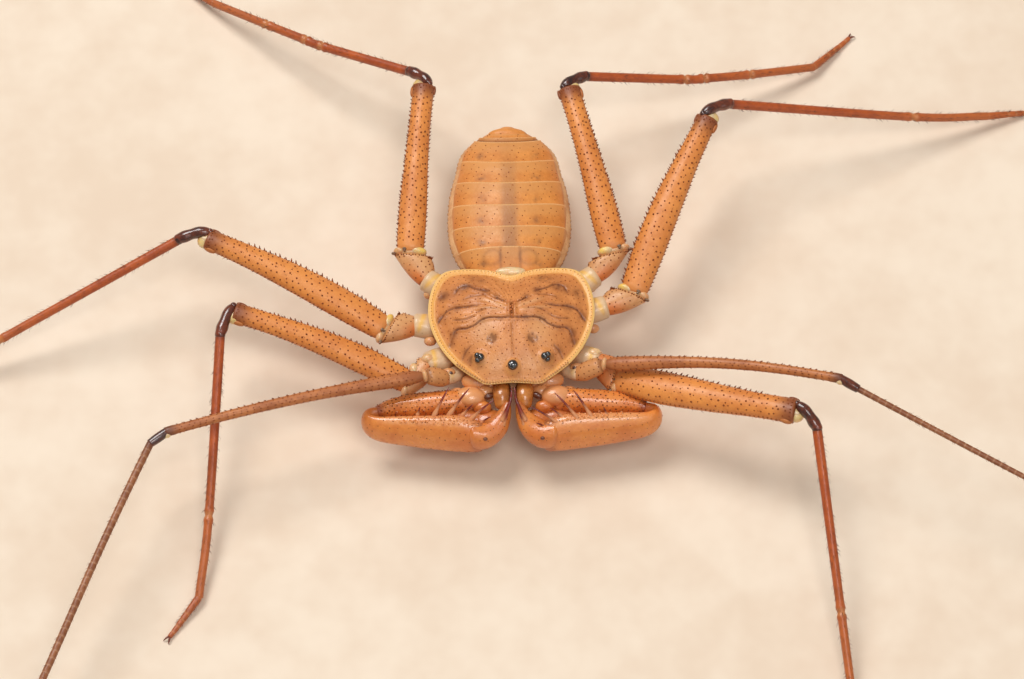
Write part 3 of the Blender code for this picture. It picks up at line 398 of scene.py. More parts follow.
# the looks: masks give a tint and its strength; dots give scale, size, share, tint and strength
looks = {
    "shield": {
        "light": (220, 142, 78), "dark": (198, 120, 60), "mottle": 520.0, "roughness": (0.34, 0.48),
        # halo is painted shade: a darker band along each furrow and over each pit
        # smudge is painted shade in dark patches by the furrows and in the pits
        "masks": {"halo": (150, 82, 38, 0.7), "smudge": (116, 64, 34, 0.85), "pale": (222, 164, 112, 0.6),
                  "rim": (236, 174, 86, 0.9), "frontRim": (224, 146, 70, 0.6), "lip": (250, 214, 140, 0.65),
                  "furrow": (80, 36, 22, 1.0), "eyeRing": (232, 164, 84, 0.9)},
        "patchy": ("halo", "smudge"), "dots": (3400.0, 0.15, 0.16, brown, 0.6), "grain": 9000.0, "bump": 0.6,
        "depth": 0.000024, "coat": 0.1, "coatRoughness": 0.22},
    "tergite": {
        "light": (226, 148, 72), "dark": (204, 124, 52), "mottle": 650.0, "roughness": (0.4, 0.52),
        "masks": {"rearPart": (212, 148, 84, 0.6), "side": (190, 108, 48, 0.4), "stripe": (150, 98, 56, 0.75),
                  # recess is painted shade in the front of the seventh plate and in the creases of the first
                  "spot": (136, 84, 48, 0.6), "lip": (242, 196, 136, 0.85), "recess": (100, 54, 28, 0.85)},
        "patchy": ("spot",), "dots": (3600.0, 0.15, 0.12, brown, 0.3), "grain": 8000.0},
    "pleura": {
        "light": (228, 180, 126), "dark": (202, 142, 90), "mottle": 900.0, "roughness": (0.5, 0.62),
        # the under tint is painted shade on the underside of the abdomen
        "masks": {"edge": (110, 68, 42, 0.85), "under": (206, 158, 104, 0.6)},
        "grain": 5200.0, "bump": 0.7, "depth": 0.00003},
    "femur": {
        "light": (228, 144, 68), "dark": (208, 122, 52), "mottle": 420.0, "roughness": (0.42, 0.55),
        # the flank tint is painted shade on the femur's sides
        "masks": {"base": (216, 140, 78, 0.6), "distal": (118, 54, 28, 0.85), "flank": (190, 104, 46, 0.5)},
        "dots": (3000.0, 0.14, 0.1, brown, 0.4), "grain": 8000.0, "bump": 0.45, "coat": 0.06, "coatRoughness": 0.2},
    "trochanter": {
        "light": (218, 160, 106), "dark": (202, 138, 84), "mottle": 800.0, "roughness": (0.36, 0.5),
        "masks": {"base": (212, 110, 42, 0.9), "distal": (200, 136, 78, 0.5), "dark": (*maroon, 0.85)},
        "dots": (3000.0, 0.17, 0.2, brown, 0.4), "grain": 8000.0, "coat": 0.1},
    "knee": {
        "light": (112, 52, 30), "dark": (46, 20, 16), "mottle": 900.0, "roughness": (0.18, 0.3),
        "masks": {"rust": (146, 62, 28, 0.8)},
        "grain": 7000.0, "bump": 0.35, "depth": 0.000015, "coat": 0.6, "coatRoughness": 0.1},
    "shin": {
        "light": (186, 88, 34), "dark": (156, 66, 24), "mottle": 600.0, "roughness": (0.34, 0.46),
        "masks": {"ring": (206, 138, 84, 0.6), "base": (92, 36, 18, 0.85), "pale": (196, 118, 62, 0.4)},
        "grain": 7000.0, "bump": 0.35, "coat": 0.1},
    "whip": {
        "light": (158, 98, 60), "dark": (130, 74, 42), "mottle": 500.0, "roughness": (0.32, 0.44),
        "masks": {"ring": (196, 146, 108, 0.5), "base": (84, 36, 20, 0.6)}, "grain": 7000.0, "bump": 0.3},
    "feelerFemur": {
        "light": (194, 118, 62), "dark": (164, 92, 46), "mottle": 500.0, "roughness": (0.4, 0.52),
        "masks": {"base": (150, 92, 56, 0.6), "distal": (84, 38, 24, 0.85)},
        "dots": (2800.0, 0.16, 0.15, darkBrown, 0.4), "grain": 7500.0, "bump": 0.45},
    "membrane": {
        "light": (238, 206, 158), "dark": (220, 174, 122), "mottle": 1100.0, "roughness": (0.26, 0.38),
        "masks": {"yellow": (244, 194, 76, 0.9), "orange": (206, 112, 44, 0.9), "peach": (220, 156, 104, 0.85),
                  "dark": (*maroon, 0.95)}, "bump": 0.35, "glow": 0.25, "glowDepth": 0.0009, "coat": 0.25},
    "coxa": {
        "light": (214, 170, 126), "dark": (188, 128, 80), "roughness": (0.3, 0.42),
        "masks": {"white": (222, 190, 150, 0.9), "yellow": (244, 190, 66, 0.9), "orange": (206, 108, 42, 0.8),
                  # the under tint is painted shade on the undersides
                  "dark": (*brown, 0.8), "under": (184, 116, 66, 0.6)},
        "dots": (2600.0, 0.16, 0.15, brown, 0.5), "grain": 7000.0, "bump": 0.45, "coat": 0.2},
    "palp": {
        "light": (230, 142, 66), "dark": (210, 114, 46), "mottle": 460.0, "roughness": (0.26, 0.38),
        "masks": {"pale": (226, 168, 118, 0.8), "rust": (142, 60, 28, 0.8), "dark": (*maroon, 0.9)},
        "dots": (2600.0, 0.13, 0.12, brown, 0.5), "grain": 7000.0, "bump": 0.6, "depth": 0.000022, "coat": 0.55,
        "coatRoughness": 0.12},
    "jaw": {
        "light": (204, 126, 54), "dark": (166, 90, 34), "roughness": (0.16, 0.28),
        # the dark on the jaws is painted shade in the slot between them
        # the pale on the jaws is a painted highlight on their tops
        "masks": {"dark": (*maroon, 0.9), "pale": (220, 166, 104, 0.6)},
        "bump": 0.25, "coat": 0.5, "coatRoughness": 0.1},
    "spine": {
        "light": (140, 42, 28), "dark": (98, 24, 18), "mottle": 1200.0, "roughness": (0.2, 0.3),
        "masks": {"root": (220, 148, 98, 0.95)}, "bump": 0.2, "coat": 0.5},
    "dot": {
        "light": (146, 74, 30), "dark": (108, 52, 22), "mottle": 1500.0, "roughness": (0.5, 0.6), "specular": 0.25,
        "masks": {"pale": (226, 160, 96, 0.9)}, "bump": 0.1},
    "grain": {
        "light": (164, 88, 38), "dark": (128, 64, 28), "mottle": 1500.0, "roughness": (0.5, 0.6), "specular": 0.25,
        "masks": {"pale": (236, 180, 118, 0.9)}, "bump": 0.1},
    "bristle": {"light": (128, 72, 40), "dark": (92, 48, 28), "mottle": 1500.0, "roughness": (0.4, 0.5), "bump": 0.1},
    "eye": {"light": (14, 11, 11), "dark": (7, 6, 7), "mottle": 1500.0, "roughness": (0.05, 0.09), "bump": 0.0,
            "coat": 1.0, "coatRoughness": 0.03, "specular": 1.0},
}
finishes = {name: makeFinish(name + "Finish", look) for name, look in looks.items()}
print("finishes", len(finishes))


shield = {
    "centreY": 1.0, "rimZ": 4.9, "rise": 1.45, "around": 440, "innerRows": 60, "outerRows": 36,
    "outline": ((0.0, -3.24), (0.8, -3.3), (1.5, -3.36), (1.85, -3.3), (2.15, -3.1), (2.95, -2.5), (3.8, -1.7),
                (4.55, -0.6), (5.1, 0.8), (5.25, 2.2), (4.95, 3.7), (4.25, 4.75), (3.0, 5.0), (1.4, 4.9), (0.0, 4.5)),
    # bearing from the nose in degrees, and the rim's width there
    "rimWidths": ((0, 0.1), (22, 0.12), (34, 0.3), (45, 0.36), (80, 0.38), (110, 0.4), (135, 0.52), (155, 0.5),
                  (180, 0.42)),
    # share of the reach and height from the rim, of the rows below
    "under": ((1.0, -0.2), (0.985, -0.3), (0.93, -0.34), (0.7, -0.38), (0.35, -0.4), (0.02, -0.4)),
    # places along each furrow, its depth and width
    "furrows": (
        (((1.53, 2.65), (2.21, 2.93), (2.75, 3.31), (3.28, 3.26), (3.55, 2.81)), 0.07, 0.06),
        (((2.1, 1.65), (2.9, 1.65), (3.58, 1.73), (4.12, 1.59), (4.47, 1.21), (4.69, 0.92)), 0.07, 0.055),
        (((0.0, 0.57), (0.77, 0.57), (1.38, 0.62), (1.91, 0.55), (2.29, 0.3), (2.83, 0.16), (3.36, 0.22), (3.66, 0.0),
          (3.9, -0.7)), 0.08, 0.05),
        (((2.6, -1.02), (2.94, -1.33), (3.13, -1.69)), 0.05, 0.045),
        (((0.4, 1.75), (0.7, 1.9), (0.99, 2.08)), 0.09, 0.05),
        (((0.9, 1.2), (1.6, 1.28), (2.2, 1.1)), 0.04, 0.05),
        (((2.3, 0.95), (3.0, 0.75), (3.7, 0.9)), 0.05, 0.05),
        (((1.5, 2.3), (2.3, 2.35), (3.0, 2.2)), 0.04, 0.05),
        (((0.0, 1.55), (0.0, 1.05), (0.0, 0.57)), 0.16, 0.08),
        (((0.0, 0.17), (0.0, -0.8), (0.0, -1.86)), 0.025, 0.06)),
    # place, radius, and depth, height or strength
    "pits": ((1.28, -0.72, 0.24, 0.15), (2.1, 3.9, 0.3, 0.04), (4.3, 2.9, 0.26, 0.04)),
    "swellings": ((1.1, 0.0, 0.75, 0.08), (1.5, 1.05, 0.4, 0.1), (1.6, 2.2, 0.42, 0.1), (2.7, 2.4, 0.5, 0.11),
                  (3.2, 0.85, 0.5, 0.1), (1.4, 3.6, 0.7, 0.08), (2.4, -0.7, 0.7, 0.06), (0.5, -1.6, 0.5, 0.05),
                  (4.1, 2.1, 0.35, 0.08), (3.9, 3.7, 0.4, 0.05)),
    # painted shade in dark patches, most of them by the furrows and in the pits
    "shadeSpots": ((2.1, 3.95, 0.55, 0.5), (2.9, 3.15, 0.38, 0.65), (3.4, 3.1, 0.3, 0.5), (4.35, 2.9, 0.42, 0.6),
                (4.45, 1.2, 0.34, 0.55), (3.5, 1.62, 0.3, 0.45), (3.7, 0.05, 0.34, 0.55), (3.95, -0.6, 0.3, 0.5),
                (0.9, 0.6, 0.3, 0.45), (1.9, 0.5, 0.3, 0.4), (1.26, -0.72, 0.27, 0.95), (2.9, -1.3, 0.28, 0.35),
                (2.5, -1.8, 0.26, 0.75), (2.0, -2.15, 0.2, 0.4), (0.95, 2.1, 0.3, 0.4), (1.6, 2.7, 0.28, 0.5),
                (4.75, 0.2, 0.3, 0.3)),
    # place, radius, height and tint of the mounds that carry the eyes
    "mounds": ((0.0, -2.45, 0.44, 0.3, 0.45), (2.08, -1.85, 0.46, 0.22, 0.3)),
    "medianBeads": ((0.0, 0.0, -0.04, (0.34, 0.34, 0.32), 20, 36), (-0.14, -0.05, 0.08, (0.18, 0.2, 0.17), 16, 28),
                    (0.14, -0.05, 0.08, (0.18, 0.2, 0.17), 16, 28)),
    "lateralBeads": ((-0.07, -0.03, 0.25), (0.12, 0.1, 0.2), (0.1, -0.16, 0.19)),
    "dots": 420, "dotGap": 0.27, "unwrap": 14,
    # first and last bearing, how many, and share of the reach
    "rimDots": (0.75, 2.95, 52, 0.962), "frontTeeth": (-0.86, 0.86, 46, 0.985),
}


def shieldSpokes():
    # bearings from the nose, and the distance from the centre to the edge at each
    half = np.asarray(shield["outline"])
    curve = through(np.vstack([half[1:4][::-1] * (-1, 1), half, half[-4:-1][::-1] * (-1, 1)]), 24)
    x, back = curve[:, 0], shield["centreY"] - curve[:, 1]
    return np.unwrap(np.arctan2(x, back)), np.hypot(x, back)


shieldEdge = shieldSpokes()
furrowCurves = [(through(line, 16), line[0][0] == 0.0, depth, width) for line, depth, width in shield["furrows"]]


def shieldReach(angle):
    return np.interp(np.abs(angle), *shieldEdge)


def shieldPlan(x, y):
    # bearing, reach to the edge, share of that reach, and the share at which the rim starts
    angle = np.arctan2(x, shield["centreY"] - y)
    reach = shieldReach(angle)
    width = np.interp(np.degrees(np.abs(angle)), *np.transpose(shield["rimWidths"]))
    return angle, reach, np.hypot(x, y - shield["centreY"]) / reach, 1 - width / reach


def shieldHeight(x, y):
    # height, and the masks that the finish reads, over the plan of the carapace
    angle, reach, share, start = shieldPlan(x, y)
    inward, outward = np.clip(share / start, 0, 1), np.clip((share - start) / (1 - start), 0, 1)
    rim, across = smooth(-0.2, 0.16, (share - start) * reach), np.abs(x)
    plate = 1 - rim
    dome = np.cos(math.pi / 2 * inward) ** 0.9 * (1 - 0.45 * smooth(0.84, 1.0, inward))
    height = shield["rimZ"] + shield["rise"] * dome + 0.03 * outward - 0.02 * bell((share - start) * reach, 0.12)
    furrow, halo, smudge, ring = (np.zeros_like(x) for _ in range(4))
    for curve, fromMiddle, depth, width in furrowCurves:
        gaps = np.hypot(across.ravel()[:, None] - curve[:, 0], y.ravel()[:, None] - curve[:, 1])
        nearest = gaps.min(1).reshape(x.shape)
        place = (gaps.argmin(1) / (len(curve) - 1)).reshape(x.shape)
        place = np.clip(0.5 + place / 2, 0.5, 0.96) if fromMiddle else np.clip(place, 0.04, 0.96)
        fade = np.clip(np.sin(math.pi * place) * 3, 0.25, 1.0)
        dip = bell(nearest, width) * fade
        height += depth * (0.6 * bell(nearest - 2.4 * width, 1.5 * width) * fade - dip)
        ragged = 0.78 + 0.22 * np.sin(across * 9.0 + y * 13.0) * np.sin(across * 23.0 - y * 7.0)
        strength = min(1.0, depth / 0.07) * ragged
        furrow = np.maximum(furrow, dip * strength)
        # painted shade in a broad band beside the furrow
        halo = np.maximum(halo, bell(nearest, width * 4.5) * strength)
    for px, py, radius, depth in shield["pits"]:
        gap = np.hypot(across - px, y - py)
        height -= depth * bell(gap, radius)
        # painted shade over the pit
        halo = np.maximum(halo, bell(gap, radius))
        ridge = bell(gap - radius * 1.05, 0.07) * (0.5 + 0.5 * np.sin(across * 21))
        furrow = np.maximum(furrow, depth * 4 * ridge)
    for px, py, radius, lift in shield["swellings"]:
        height += lift * bell(np.hypot(across - px, y - py), radius) * plate
    # painted shade in patches
    for px, py, radius, strength in shield["shadeSpots"]:
        smudge = np.maximum(smudge, 1.25 * strength * bell(np.hypot(across - px, y - py), radius))
    # fine wrinkles spread from the middle groove
    wrinkles = np.sin(34 * angle + 2.6 * np.sin(7 * share)) * np.sin(13 * angle + 5 * share)
    height += 0.022 * wrinkles * smooth(0.12, 0.3, share) * smooth(0.45, 1.2, y) * plate
    # pale streaks run out from the middle groove on each side
    streak = bell(y - 1.2 - 0.42 * across, 0.14) * smooth(0.25, 0.6, across) * smooth(2.4, 1.4, across)
    lower = bell(y - 1.0 - 0.2 * across, 0.12) * smooth(0.4, 0.8, across) * smooth(2.8, 1.8, across)
    streak = np.maximum(streak, 0.8 * lower)
    height += 0.06 * streak
    for px, py, radius, rise, tint in shield["mounds"]:
        gap = np.hypot(across - px, y - py)
        height += rise * bell(gap, radius, 4)
        ring = np.maximum(ring, tint * bell(gap - radius * 0.9, 0.06))
    # a pale field behind the middle groove, and two shining patches beside the pits
    pale = np.maximum.reduce([streak, bell(x, 0.95) * smooth(3.3, 4.3, y),
                              bell(np.hypot((across - 1.75) / 0.8, (y + 0.1) / 0.9), 1),
                              0.8 * bell(np.hypot((across - 1.2) / 1.3, (y + 2.3) / 0.7), 1)])
    return height, {"lip": smooth(0.55, 0.95, outward), "furrow": furrow * plate, "halo": halo * plate * 0.7,
                    "rim": rim, "eyeRing": ring, "pale": pale * plate, "smudge": smudge * plate}


def shieldRows(reach, angles, height):
    return np.stack([reach * np.sin(angles), shield["centreY"] - reach * np.cos(angles), height], -1).reshape(-1, 3)


def buildShield():
    angles = np.linspace(-math.pi, math.pi, shield["around"], endpoint=False)
    reach = shieldReach(angles)
    shares = np.concatenate([np.linspace(0.012, 0.8, shield["innerRows"]),
                             np.linspace(0.8, 1.0, shield["outerRows"] + 1)[1:]])
    grid = shares[:, None] * reach
    height, masks = shieldHeight(grid * np.sin(angles), shield["centreY"] - grid * np.cos(angles))
    height -= 0.1 * smooth(0.965, 1.0, shares)[:, None] ** 2
    # the front edge is finely scalloped
    frontal = 1 - smooth(0.75, 1.05, np.abs(angles))
    scallop = np.abs(np.sin(angles * reach / 0.2 * math.pi)) * 0.035 * frontal
    masks["frontRim"] = masks["rim"] * frontal
    under = np.asarray(shield["under"])
    low = under[:, :1] * reach
    points = np.vstack([shieldRows(grid * (1 + scallop / reach), angles, height),
                        shieldRows(low, angles, shield["rimZ"] + under[:, 1:] + 0 * low),
                        [(0.0, shield["centreY"], height[0].mean()), (0.0, shield["centreY"], shield["rimZ"] - 0.4)]])
    masks = {name: np.concatenate([mask.ravel(), np.full(low.size, float(name == "rim")), [0.0, 0.0]])
             for name, mask in masks.items()}
    quads, tris = tubeFaces(len(shares) + len(under), shield["around"])
    addPiece("carapaceShield", makeShape(points, quads[:, ::-1], tris[:, ::-1], **masks), "shield", "carapace",
             "carapace")


def shieldPoint(x, y):
    x, y = np.atleast_1d(np.asarray(x, float)), np.atleast_1d(np.asarray(y, float))
    return np.stack([x, y, shieldHeight(x, y)[0]], -1)


def shieldStuds(x, y, radii, heights, ways=None, **masks):
    # dots on the carapace, which stand on its slope
    points, step = shieldPoint(x, y), 0.03
    if ways is None:
        slopeX, slopeY = ((shieldPoint(x + dx, y + dy) - points)[:, 2] / step for dx, dy in ((step, 0), (0, step)))
        ways = np.stack([-slopeX, -slopeY, np.ones(len(points))], -1)
    return paint(studs(points, ways, radii, heights, points[:, :2] / shield["unwrap"] + 0.5), **masks)


def buildShieldDots():
    draw = np.random.default_rng(11)
    eyeX, eyeY = shield["mounds"][1][:2]
    spots = []
    for _ in range(shield["dots"] * 12):
        x, y = draw.uniform((-5.6, -3.6), (5.6, 5.2))
        _, _, share, start = shieldPlan(x, y)
        if share < start - 0.02 and math.hypot(abs(x) - eyeX, y - eyeY) > 0.5 and all(
                math.hypot(x - px, y - py) > shield["dotGap"] for px, py in spots):
            spots.append((x, y))
        if len(spots) == shield["dots"]:
            break
    x, y = np.transpose(spots)
    dome = shieldStuds(x, y, draw.uniform(0.03, 0.055, len(x)), draw.uniform(0.03, 0.05, len(x)))
    # the row of dots along the rim, and orange teeth along the front edge
    first, last, count, share = shield["rimDots"]
    angles = np.outer((1, -1), np.linspace(first, last, count)).ravel()
    angles = angles + draw.uniform(-0.008, 0.008, len(angles))
    x, y, _ = shieldRows(shieldReach(angles) * share, angles, angles).T
    rim = shieldStuds(x, y, 0.038, 0.035, pale=0.25)
    first, last, count, share = shield["frontTeeth"]
    angles = np.linspace(first, last, count)
    x, y, _ = shieldRows(shieldReach(angles) * share, angles, angles).T
    ways = np.stack([np.sin(angles), -np.cos(angles), np.full_like(angles, 0.8)], -1)
    addPiece("carapaceDots", joinShapes(dome, rim, shieldStuds(x, y, 0.07, 0.09, ways, pale=0.55)), "grain", "carapace")


def buildEyes():
    top = shieldPoint(*shield["mounds"][0][:2])[0]
    beads = [bulb(top + (x, y, z), radii, rows, around) for x, y, z, radii, rows, around in shield["medianBeads"]]
    addPiece("eyesMedian", joinShapes(*beads), "eye", "eye", "eye_median")
    x, y = shield["mounds"][1][:2]
    for side, sign in sides.items():
        beads = []
        for offsetX, offsetY, radius in shield["lateralBeads"]:
            spot = shieldPoint(sign * (x + offsetX), y + offsetY)[0]
            beads.append(bulb(spot + (0, 0, radius * 0.25), radius, 18, 28))
        addPiece("eyesLateral" + side.capitalize(), joinShapes(*beads), "eye", "eye", "eyes_lateral_" + side)
    # a few shining grains round the middle groove
    draw = np.random.default_rng(5)
    spots = shieldPoint(draw.normal(0, 0.16, 14), draw.uniform(0.75, 1.85, 14))
    grains = [bulb(spot, (0.07, 0.07, 0.06), 6, 10, base=0.7) for spot in spots]
    addPiece("grooveGrains", joinShapes(*grains), "trochanter", "carapace")


buildShield()
buildShieldDots()
buildEyes()
print("carapace and eyes")


belly = {
    "widestY": 9.0, "endY": 16.45, "halfWidth": 3.87, "step": 0.15, "plateSpan": 0.79, "overlap": 0.22,
    "tops": (4.85, 5.3, 5.35, 5.2, 4.85, 4.3, 3.35), "bottoms": (2.7, 2.1, 1.75, 1.65, 1.7, 2.0, 2.6),
    "plateEdges": (4.95, 6.35, 7.8, 9.42, 11.2, 12.97, 14.85, 15.35, 15.95),
    "bows": (-0.1, -0.18, -0.55, -0.74, -0.86, -0.88, -0.75, -0.5, -0.3),
    "stripes": (0.0, 0.35, 1.0, 1.0, 0.85, 0.65, 0.25, 0.0, 0.0),
    "skinRows": 90, "skinAround": 72, "plateColumns": 96, "plateRows": 22,
    "tip": (((0, 16.0, 3.25), (1.3, 0.5, 0.55)), ((0, 16.42, 3.15), (0.6, 0.26, 0.36))),
    "waist": ((0, 4.86, 4.72), (1.0, 0.34, 0.27)),
}


def bellyWidth(y):
    rear = (y - belly["widestY"]) / (belly["endY"] - belly["widestY"])
    front = (belly["widestY"] - y) / (belly["widestY"] - abdomenFrontY + 1.0)
    share = np.where(y >= belly["widestY"], rear, front)
    blunt = 1 + 0.15 * smooth(0.5, 0.85, rear)
    return belly["halfWidth"] * blunt * np.sqrt(np.clip(1 - np.abs(share) ** 2.2, 0.0, 1.0))


def bellyHeights(y):
    share = (y - abdomenFrontY) / (belly["endY"] - abdomenFrontY)
    top, bottom = blendList(belly["tops"], share), blendList(belly["bottoms"], share)
    return share, top, bottom, bottom + (top - bottom) * 0.45


def bellySurface(y, lean):
    # a point of the back: lean runs from -1 at the right-hand seam to 1 at the other
    _, top, _, seam = bellyHeights(y)
    angle = lean * math.pi / 2
    return np.stack([bellyWidth(y) * np.sin(angle), y + 0 * angle, seam + (top - seam) * np.cos(angle)], -1)


def buildBellySkin():
    y = np.linspace(abdomenFrontY, belly["endY"], belly["skinRows"])[:, None]
    angles = np.linspace(0, 2 * math.pi, belly["skinAround"], endpoint=False)
    up, across = np.sin(angles), np.cos(angles)
    share, top, bottom, seam = bellyHeights(y)
    neck = smooth(-0.05, 0.085, share)
    width = bellyWidth(y) * (0.45 + 0.55 * neck) + 0.02
    height = seam + np.where(up > 0, (top - seam) * (0.5 + 0.5 * neck) - 0.22, seam - bottom) * up
    # sternites below, and a serrated side rim
    height += 0.05 * np.cos(2 * math.pi * (y - 5.6) / 1.55) ** 6 * np.clip(-up * 2, 0, 1)
    reach = width * (1 + 0.018 * bell(up - 0.05, 0.12) * (1 + 0.8 * np.sin(y * 19)))
    grid = np.stack([reach * across, y + 0 * reach, height], -1).reshape(-1, 3)
    # under is painted shade, darker as the skin faces down
    edge, under = (np.concatenate([np.tile(mask, len(y)), [0, 0]])
                   for mask in (bell(up - 0.02, 0.05), np.clip(-up * 2, 0, 1)))
    ends = [(0.0, y[0, 0] - 0.02, 3.9), (0.0, y[-1, 0] + 0.02, 3.0)]
    shape = makeShape(np.vstack([grid, ends]), *tubeFaces(len(y), len(angles)), edge=edge, under=under)
    addPiece("abdomenSkin", shape, "pleura", "abdomen", "abdomen")


def plateEdge(index, lean):
    # a plate's rear edge bows at its sides
    return belly["plateEdges"][index] - belly["bows"][index] * np.sin(lean * math.pi / 2) ** 2


def bellyStuds(y, lean, lift, ways, radii, heights, **masks):
    spots = bellySurface(y, lean)
    spots[:, 2] += lift
    return paint(studs(spots, ways, radii, heights, np.stack([0.5 + spots[:, 0] / 10, spots[:, 1] / 20], -1)), **masks)


def buildTergites():
    span, step, overlap = belly["plateSpan"], belly["step"], belly["overlap"]
    leans = np.linspace(-1, 1, belly["plateColumns"]) * span
    shares = np.linspace(0, 1, belly["plateRows"])[:, None]
    plates, dots = [], []
    draw = np.random.default_rng(23)
    for index in range(1, len(belly["plateEdges"])):
        front, rear = plateEdge(index - 1, leans) - overlap, plateEdge(index, leans)
        y = np.minimum(front + (rear - front) * shares, belly["endY"] - 0.05)
        spots = bellySurface(y, np.broadcast_to(leans, y.shape))
        x = np.abs(spots[..., 0])
        seen = np.clip((y - front - overlap) / (rear - front - overlap), 0, 1)
        lift, crease = step * seen ** 1.5, 0 * x
        if index == 1:
            # two rounded swellings beside the middle of the first plate, with painted shade in the creases round them
            lift = lift + 0.07 * np.exp(-((x - 1.15) / 0.6) ** 2 - ((seen - 0.45) / 0.4) ** 2)
            gap = np.hypot((x - 1.15) / 1.1, (y - 5.72) / 0.9)
            crease = 0.3 * bell(gap - 0.5, 0.12) + 0.45 * bell(x - 0.62, 0.1)
        spots[..., 2] += lift - smooth(0.93, 1.0, np.abs(leans) / span) * 0.12
        lip = spots[-1:] + (0.0, 0.02, -0.05)
        fold = spots[-1:] * (0.995, 1.0, 1.0) + (0.0, -0.06, -step - 0.08)
        side = smooth(0.62, 1.0, x / (bellyWidth(y) + 1e-6)) * (1 - 0.6 * smooth(0.4, 0.8, seen))
        masks = {"rearPart": smooth(0.35, 0.72, seen), "side": side, "lip": smooth(0.94, 0.99, seen),
                 "stripe": bell(x, 0.52, 4) * belly["stripes"][index] * (1 - 0.3 * seen),
                 "spot": np.exp(-((x - 1.76) / 0.28) ** 2 - ((seen - 0.28) / 0.16) ** 2),
                 # painted shade: the seventh plate darkens towards its front, where it runs under the plate before it
                 "recess": (index == 7) * (1 - seen) + crease}
        masks = {name: np.concatenate([mask, mask[-1:], mask[-1:]]) for name, mask in masks.items()}
        faces = gridFaces(len(shares) + 2, len(leans), False)[:, ::-1]
        plates.append(makeShape(np.concatenate([spots, lip, fold]), faces, **masks))
        count = 38 if index < 7 else 8
        order = np.arange(count) + draw.integers(0, 500)
        lean = 0.9 * span * (2 * (order * 0.7548777 % 1.0) - 1)
        share = 0.14 + 0.74 * (order * 0.5698403 % 1.0)
        y = plateEdge(index - 1, lean) + (plateEdge(index, lean) - plateEdge(index - 1, lean)) * share
        angle = lean * math.pi / 2
        ways = np.stack([np.sin(angle), 0 * angle, np.cos(angle) * 1.6], -1)
        dots.append(bellyStuds(y, lean, step * share ** 1.5, ways, draw.uniform(0.03, 0.05, count), 0.04))
        # a row of pale grains along the rear lip
        lean = np.linspace(-0.95, 0.95, 44 if index < 7 else 16) * span
        ways = np.stack([np.sin(lean), 0 * lean, np.cos(lean)], -1)
        dots.append(bellyStuds(plateEdge(index, lean) - 0.04, lean, step, ways, 0.035, 0.03, pale=1.0))
    addPiece("abdomenPlates", joinShapes(*plates), "tergite", "abdomen")
    addPiece("abdomenDots", joinShapes(*dots), "grain", "abdomen")


buildBellySkin()
buildTergites()
addPiece("abdomenTip", joinShapes(*(bulb(*ring) for ring in belly["tip"])), "tergite", "abdomen")
addPiece("waist", bulb(*belly["waist"]), "membrane", "membrane")
print("abdomen")


